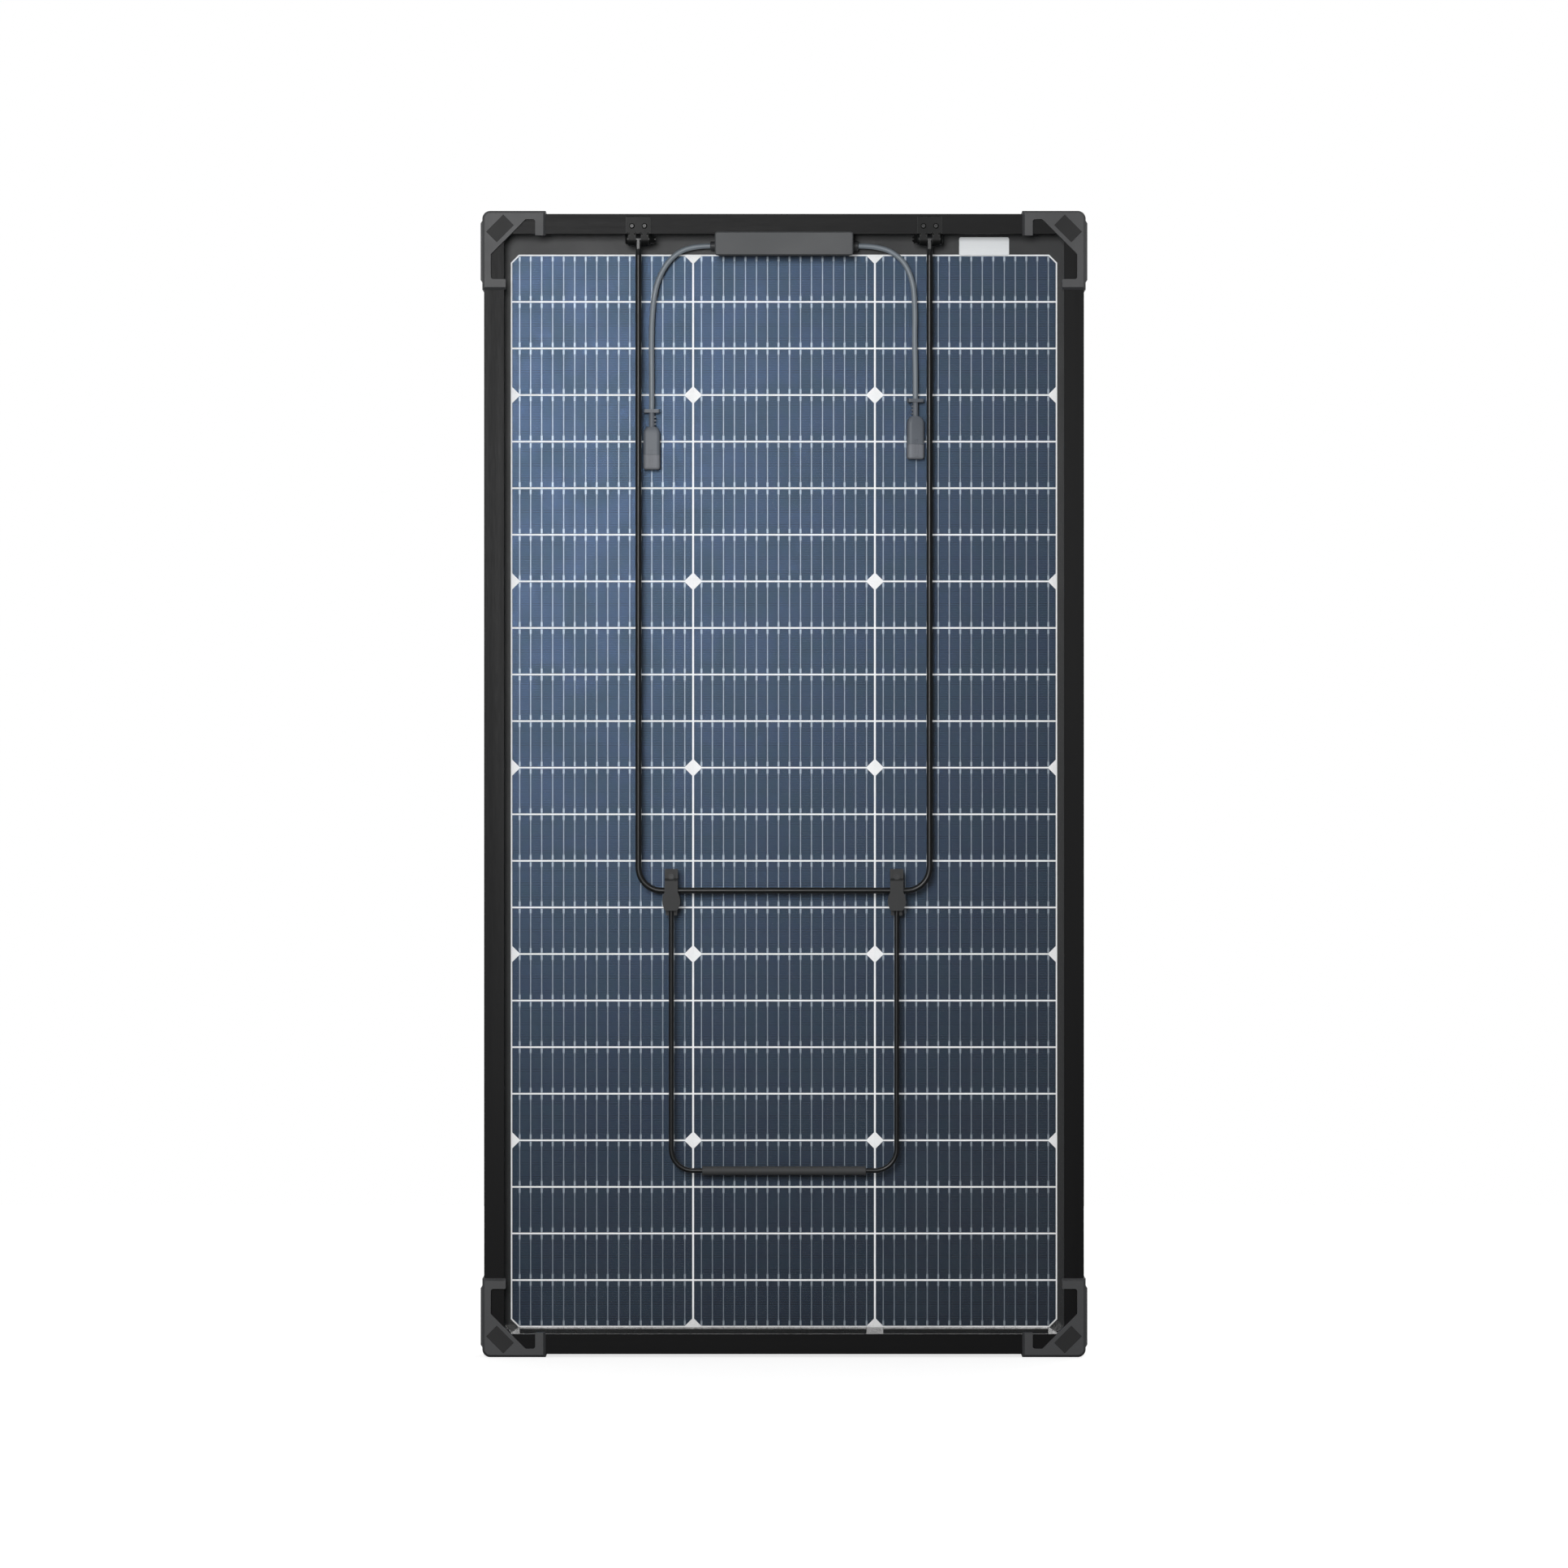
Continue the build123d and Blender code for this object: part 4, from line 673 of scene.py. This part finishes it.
def silicon_finish(look):
    """Blue-grey silicon with fine fingers, and light and dark lines strongest near a cell's middle."""
    low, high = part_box("cells_left")
    pitch = (high.z - low.z - look.cell_height) / (look.rows - 1)
    material, tree, shader = start_material(
        "Silicon", Metallic=0.94, Coat_Weight=0.02, Coat_Roughness=0.4, Specular_IOR_Level=0.3,
    )
    link = tree.links.new
    where = place(tree, "ShaderNodeTexCoord")
    parts = place(tree, "ShaderNodeSeparateXYZ")
    link(where.outputs["Object"], parts.inputs[0])
    height = parts.outputs["Z"]
    along = sums(tree, "DIVIDE", sums(tree, "SUBTRACT", height, low.z), pitch)
    in_cell = sums(tree, "MULTIPLY", sums(tree, "FRACT", along), pitch)
    from_middle = sums(tree, "ABSOLUTE", sums(tree, "SUBTRACT", in_cell, look.cell_height / 2))

    fingers = use_group(
        tree, "Printed Line", Pitch=look.finger_pitch, Width=look.finger_pitch * 0.35, Start=low.z,
    )
    link(height, fingers.inputs["Place"])
    band_pitch, band_width = look.finger_pitch * 1.85, look.finger_pitch * 0.62
    light_band, dark_band = (
        use_group(tree, "Printed Line", Pitch=band_pitch, Width=band_width, Start=start)
        for start in (0, look.finger_pitch * 0.92)
    )
    for band in (light_band, dark_band):
        link(in_cell, band.inputs["Place"])
    outer_place = look.cell_height * 0.3
    outer_off = sums(tree, "ABSOLUTE", sums(tree, "SUBTRACT", from_middle, outer_place))
    outer = ramp(tree, outer_off, 0.0030, 0.0012)
    inner = ramp(tree, from_middle, 0.0038, 0.0018)
    strong = ramp(tree, sums(tree, "MAXIMUM", outer, inner), 0, 1, 0.45, 1.0)

    column_pitch = 0.1838
    row = sums(tree, "FLOOR", along)
    column = sums(tree, "ROUND", sums(tree, "DIVIDE", parts.outputs["X"], column_pitch))
    cell = place(tree, "ShaderNodeCombineXYZ")
    link(column, cell.inputs[0])
    link(row, cell.inputs[1])
    own = place(tree, "ShaderNodeTexWhiteNoise", noise_dimensions="2D")
    link(cell.outputs[0], own.inputs["Vector"])
    cloud = place(tree, "ShaderNodeTexNoise", Scale=38.0, Detail=3.0)
    link(where.outputs["Object"], cloud.inputs["Vector"])

    tone = Vector(look.silicon)
    violet = (tone.x * 1.05, tone.y * 0.96, tone.z * 1.05)
    teal = (tone.x * 0.95, tone.y * 1.05, tone.z * 0.98)
    base = tinted(tree, ramp(tree, cloud.outputs[0], 0.35, 0.65), violet, teal)
    base = tinted(tree, ramp(tree, own.outputs["Value"], 0, 1, 0, 0.12), base, lighter(tone, 0.7))
    lit = sums(tree, "MULTIPLY", fingers.outputs[0], 0.12)
    base = tinted(tree, lit, base, lighter(tone, 2.6))
    for band, amount, tint in ((light_band, 0.3, 1.9), (dark_band, 0.75, 0.3)):
        mask = sums(tree, "MULTIPLY", sums(tree, "MULTIPLY", band.outputs[0], strong), amount)
        base = tinted(tree, mask, base, lighter(tone, tint))
    link(base, shader.inputs["Base Color"])
    link(ramp(tree, cloud.outputs[0], 0.3, 0.7, 0.34, 0.39), shader.inputs["Roughness"])
    bump = place(tree, "ShaderNodeBump", Strength=0.15, Distance=0.00003)
    link(fingers.outputs[0], bump.inputs["Height"])
    link(bump.outputs[0], shader.inputs["Normal"])
    return material


class SOLARPANEL_OT_laminate(Operator):
    """Finish the cells, grid, film and glass, and add the busbars that are printed on the cells"""

    bl_idname = "solarpanel.laminate"
    bl_label = "Laminate"

    def execute(self, context):
        look = context.scene.panel_cells
        dress("cells_left cells_middle cells_right", silicon_finish(look))
        ribbon = finish_for(
            "Solder Ribbon", look.pad, 0.34, grain=1400, stretch=(8, 8, 0.4), relief=0.08, mottle=0.08,
            edge=1.1, edge_amount=0.2, dust=0, Metallic=0.55,
        )
        silver = finish_for(
            "Busbar Print", look.silver, 0.46, grain=1900, relief=0.1, mottle=0.12, edge=1.1,
            edge_amount=0, dust=0, Metallic=0.75,
        )
        pads = finish_for(
            "Solder Pad", look.pad, 0.46, grain=1200, relief=0.14, mottle=0.12, edge=1.1,
            edge_amount=0, dust=0, Metallic=0.7,
        )
        dress("ribbons_left ribbons_middle ribbons_right bus_ribbons", ribbon)
        for side in ("left", "middle", "right"):
            bars = busbars(f"busbars_{side}", f"cells_{side}", look, (silver, pads))
            wires = front_ribbons(f"front_ribbons_{side}", f"cells_{side}", look, ribbon)
            for piece in (bars, wires):
                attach(piece, "root")

        grid = finish_for(
            "Printed Grid", look.grid, 0.55, grain=1700, relief=0.04, mottle=0.02, edge=1.0,
            edge_amount=0, dust=0, Specular_IOR_Level=0.2,
        )
        margin = finish_for(
            "Printed Margin", look.margin, 0.5, grain=2400, relief=0.02, mottle=0.06, edge=1.0,
            edge_amount=0, dust=0, Specular_IOR_Level=0.35,
        )
        dress("white_grid", grid)
        dress("dark_margin", margin)
        dress("rear_sheet", clear_finish("Rear Film", (0.10, 0.11, 0.12), 0.04, 0.3, 1.6))
        dress("front_encapsulant rear_encapsulant",
              clear_finish("Encapsulant", (0.20, 0.21, 0.21), 0.02, 0.4, 1.48))
        dress("front_glass", clear_finish("Front Glass", (0.05, 0.06, 0.06), 0.1, 0.1, 2.4))
        dress("edge_seal", finish_for(
            "Edge Seal", shade(24, 24, 25), 0.6, grain=1300, relief=0.25, edge=1.4, dust=0))
        return {"FINISHED"}


# --- Frame, guards and plate -----------------------------------------------------------------------


class SOLARPANEL_OT_frame(Operator):
    """Finish the anodised rails, their corner keys, the corner guards and the blank plate"""

    bl_idname = "solarpanel.frame"
    bl_label = "Frame and Guards"

    def execute(self, context):
        look = context.scene.panel_hardware
        for name, stretch, nodes in (
            ("Anodised Upright", (1, 1, 0.02), "frame_rail_left frame_rail_right"),
            ("Anodised Cross", (0.02, 1, 1), "frame_rail_top frame_rail_bottom"),
        ):
            dress(nodes, finish_for(
                name, look.frame, 0.44, grain=2600, stretch=stretch, patches=60, relief=0.05,
                depth=0.00004, mottle=0.08, edge=2.4, edge_width=0.0005, edge_amount=0.5, dust=0.015,
                Specular_IOR_Level=0.13,
            ))
        dress("corner_keys", finish_for(
            "Cast Key", shade(150, 152, 154), 0.5, grain=700, relief=0.3, edge=1.2, Metallic=0.9))
        dress(
            "corner_guard_top_left corner_guard_top_right corner_guard_bottom_left "
            "corner_guard_bottom_right",
            finish_for(
                "Guard Plastic", look.guard, 0.52, grain=2300, relief=0.2, mottle=0.06, edge=2.1,
                edge_width=0.0007, edge_amount=0.45, dust=0.06, Specular_IOR_Level=0.6,
            ),
        )
        dress("guard_pads", finish_for(
            "Guard Pad", look.pad, 0.6, grain=1500, relief=0.4, mottle=0.12, edge=1.5,
            edge_width=0.0004, edge_amount=0.3, dust=0.03, Specular_IOR_Level=0.45))
        dress("label_plate", finish_for(
            "Blank Plate", look.plate, 0.4, grain=1800, stretch=(0.03, 1, 1), patches=90, relief=0.06,
            mottle=0.04, edge=1.15, edge_width=0.0003, dust=0.03, Metallic=0.1))
        return {"FINISHED"}


class SOLARPANEL_OT_junction_box(Operator):
    """Finish the junction box, its glands, gasket and the parts inside it"""

    bl_idname = "solarpanel.junction_box"
    bl_label = "Junction Box"

    def execute(self, context):
        look = context.scene.panel_hardware
        dress("junction_box_base junction_box_lid", finish_for(
            "Box Plastic", look.box, 0.5, grain=2500, relief=0.16, mottle=0.05, edge=1.7,
            edge_width=0.0007, edge_amount=0.4, dust=0.05, Specular_IOR_Level=0.4))
        dress("cable_gland_left cable_gland_right", finish_for(
            "Gland Plastic", lighter(look.box, 0.62), 0.48, grain=2500, relief=0.16, mottle=0.06,
            edge=2.0, edge_width=0.0004, edge_amount=0.5, Specular_IOR_Level=0.4))
        dress("box_gasket box_adhesive", finish_for(
            "Box Sealant", shade(30, 30, 31), 0.65, grain=1100, relief=0.3, edge=1.3, dust=0))
        dress("bypass_diodes", finish_for(
            "Diode Epoxy", shade(26, 26, 27), 0.35, grain=1600, relief=0.1, edge=1.6, dust=0))
        return {"FINISHED"}


# --- Stand -----------------------------------------------------------------------------------------


class SOLARPANEL_OT_brackets(Operator):
    """Finish the hinge brackets, rivets, bolts, nuts, washers and bushes"""

    bl_idname = "solarpanel.brackets"
    bl_label = "Hinge Brackets"

    def execute(self, context):
        look = context.scene.panel_hardware
        # The bracket's edge factor of 14 paints a bright highlight strip along its edges: painted
        # highlight, not wear
        dress("hinge_bracket_left hinge_bracket_right", finish_for(
            "Bracket Steel", look.bracket, 0.5, grain=2100, relief=0.22, mottle=0.08, edge=14.0,
            edge_width=0.0008, edge_amount=0.9, dust=0.05, Specular_IOR_Level=0.22))
        dress("bracket_rivets hinge_bolts hinge_nuts hinge_washers", finish_for(
            "Blacked Steel", lighter(look.bracket, 0.8), 0.34, grain=1900, relief=0.14, mottle=0.1,
            edge=5.0, edge_width=0.0004, edge_amount=0.6, dust=0.04, Specular_IOR_Level=0.3))
        dress("hinge_bushes", finish_for(
            "Bush Nylon", shade(205, 202, 192), 0.5, grain=2100, relief=0.1, edge=1.1))
        return {"FINISHED"}


class SOLARPANEL_OT_stand(Operator):
    """Finish the coated wire stand, its extension, the rubber grip and the clips between them"""

    bl_idname = "solarpanel.stand"
    bl_label = "Wire Stand"

    def execute(self, context):
        look = context.scene.panel_hardware
        dress("stand_rod extension_rod", finish_for(
            "Coated Wire", look.rod, 0.34, grain=1300, relief=0.1, mottle=0.1, edge=2.0,
            edge_width=0.0004, edge_amount=0.4, dust=0.02, Specular_IOR_Level=0.35, Coat_Weight=0.05,
            Coat_Roughness=0.25))
        dress("grip_sleeve", finish_for(
            "Grip Rubber", look.grip, 0.6, grain=1500, relief=0.35, mottle=0.08, edge=1.6,
            edge_width=0.0004, edge_amount=0.3, dust=0.05, Specular_IOR_Level=0.35))
        dress("clip_front_left clip_front_right clip_back_left clip_back_right", finish_for(
            "Clip Plastic", look.clip, 0.52, grain=2400, relief=0.2, mottle=0.07, edge=2.0,
            edge_width=0.0005, edge_amount=0.5, dust=0.04, Specular_IOR_Level=0.35))
        dress("clip_screws clip_pins", finish_for(
            "Screw Steel", shade(44, 45, 46), 0.36, grain=1700, relief=0.12, edge=2.6,
            edge_width=0.0003, dust=0.02, Metallic=0.6))
        return {"FINISHED"}


# --- Add-on ----------------------------------------------------------------------------------------


class SOLARPANEL_PT_sidebar(Panel):
    """The sizes, colours and steps of the solar panel"""

    bl_idname = "SOLARPANEL_PT_sidebar"
    bl_label = "Solar Panel"
    bl_space_type = "VIEW_3D"
    bl_region_type = "UI"
    bl_category = "Solar Panel"

    def draw(self, context):
        for group in SETTINGS:
            settings = getattr(context.scene, group)
            section = self.layout.box()
            for name in settings.__annotations__:
                section.prop(settings, name)
        for step in STEPS:
            self.layout.operator(step.bl_idname)


SETTINGS = {
    "panel_studio": PanelStudio,
    "panel_leads": PanelLeads,
    "panel_cells": PanelCells,
    "panel_hardware": PanelHardware,
}
STEPS = (
    SOLARPANEL_OT_stage,
    SOLARPANEL_OT_leads,
    SOLARPANEL_OT_laminate,
    SOLARPANEL_OT_frame,
    SOLARPANEL_OT_junction_box,
    SOLARPANEL_OT_brackets,
    SOLARPANEL_OT_stand,
)


def register():
    for kind in (*SETTINGS.values(), *STEPS, SOLARPANEL_PT_sidebar):
        bpy.utils.register_class(kind)
    for name, kind in SETTINGS.items():
        setattr(bpy.types.Scene, name, PointerProperty(type=kind))


def unregister():
    for name in SETTINGS:
        delattr(bpy.types.Scene, name)
    for kind in (SOLARPANEL_PT_sidebar, *STEPS[::-1], *list(SETTINGS.values())[::-1]):
        bpy.utils.unregister_class(kind)


def main():
    register()
    bpy.ops.solarpanel.stage()
    bpy.ops.solarpanel.leads()
    bpy.ops.solarpanel.laminate()
    bpy.ops.solarpanel.frame()
    bpy.ops.solarpanel.junction_box()
    bpy.ops.solarpanel.brackets()
    bpy.ops.solarpanel.stand()


if __name__ == "__main__":
    main()
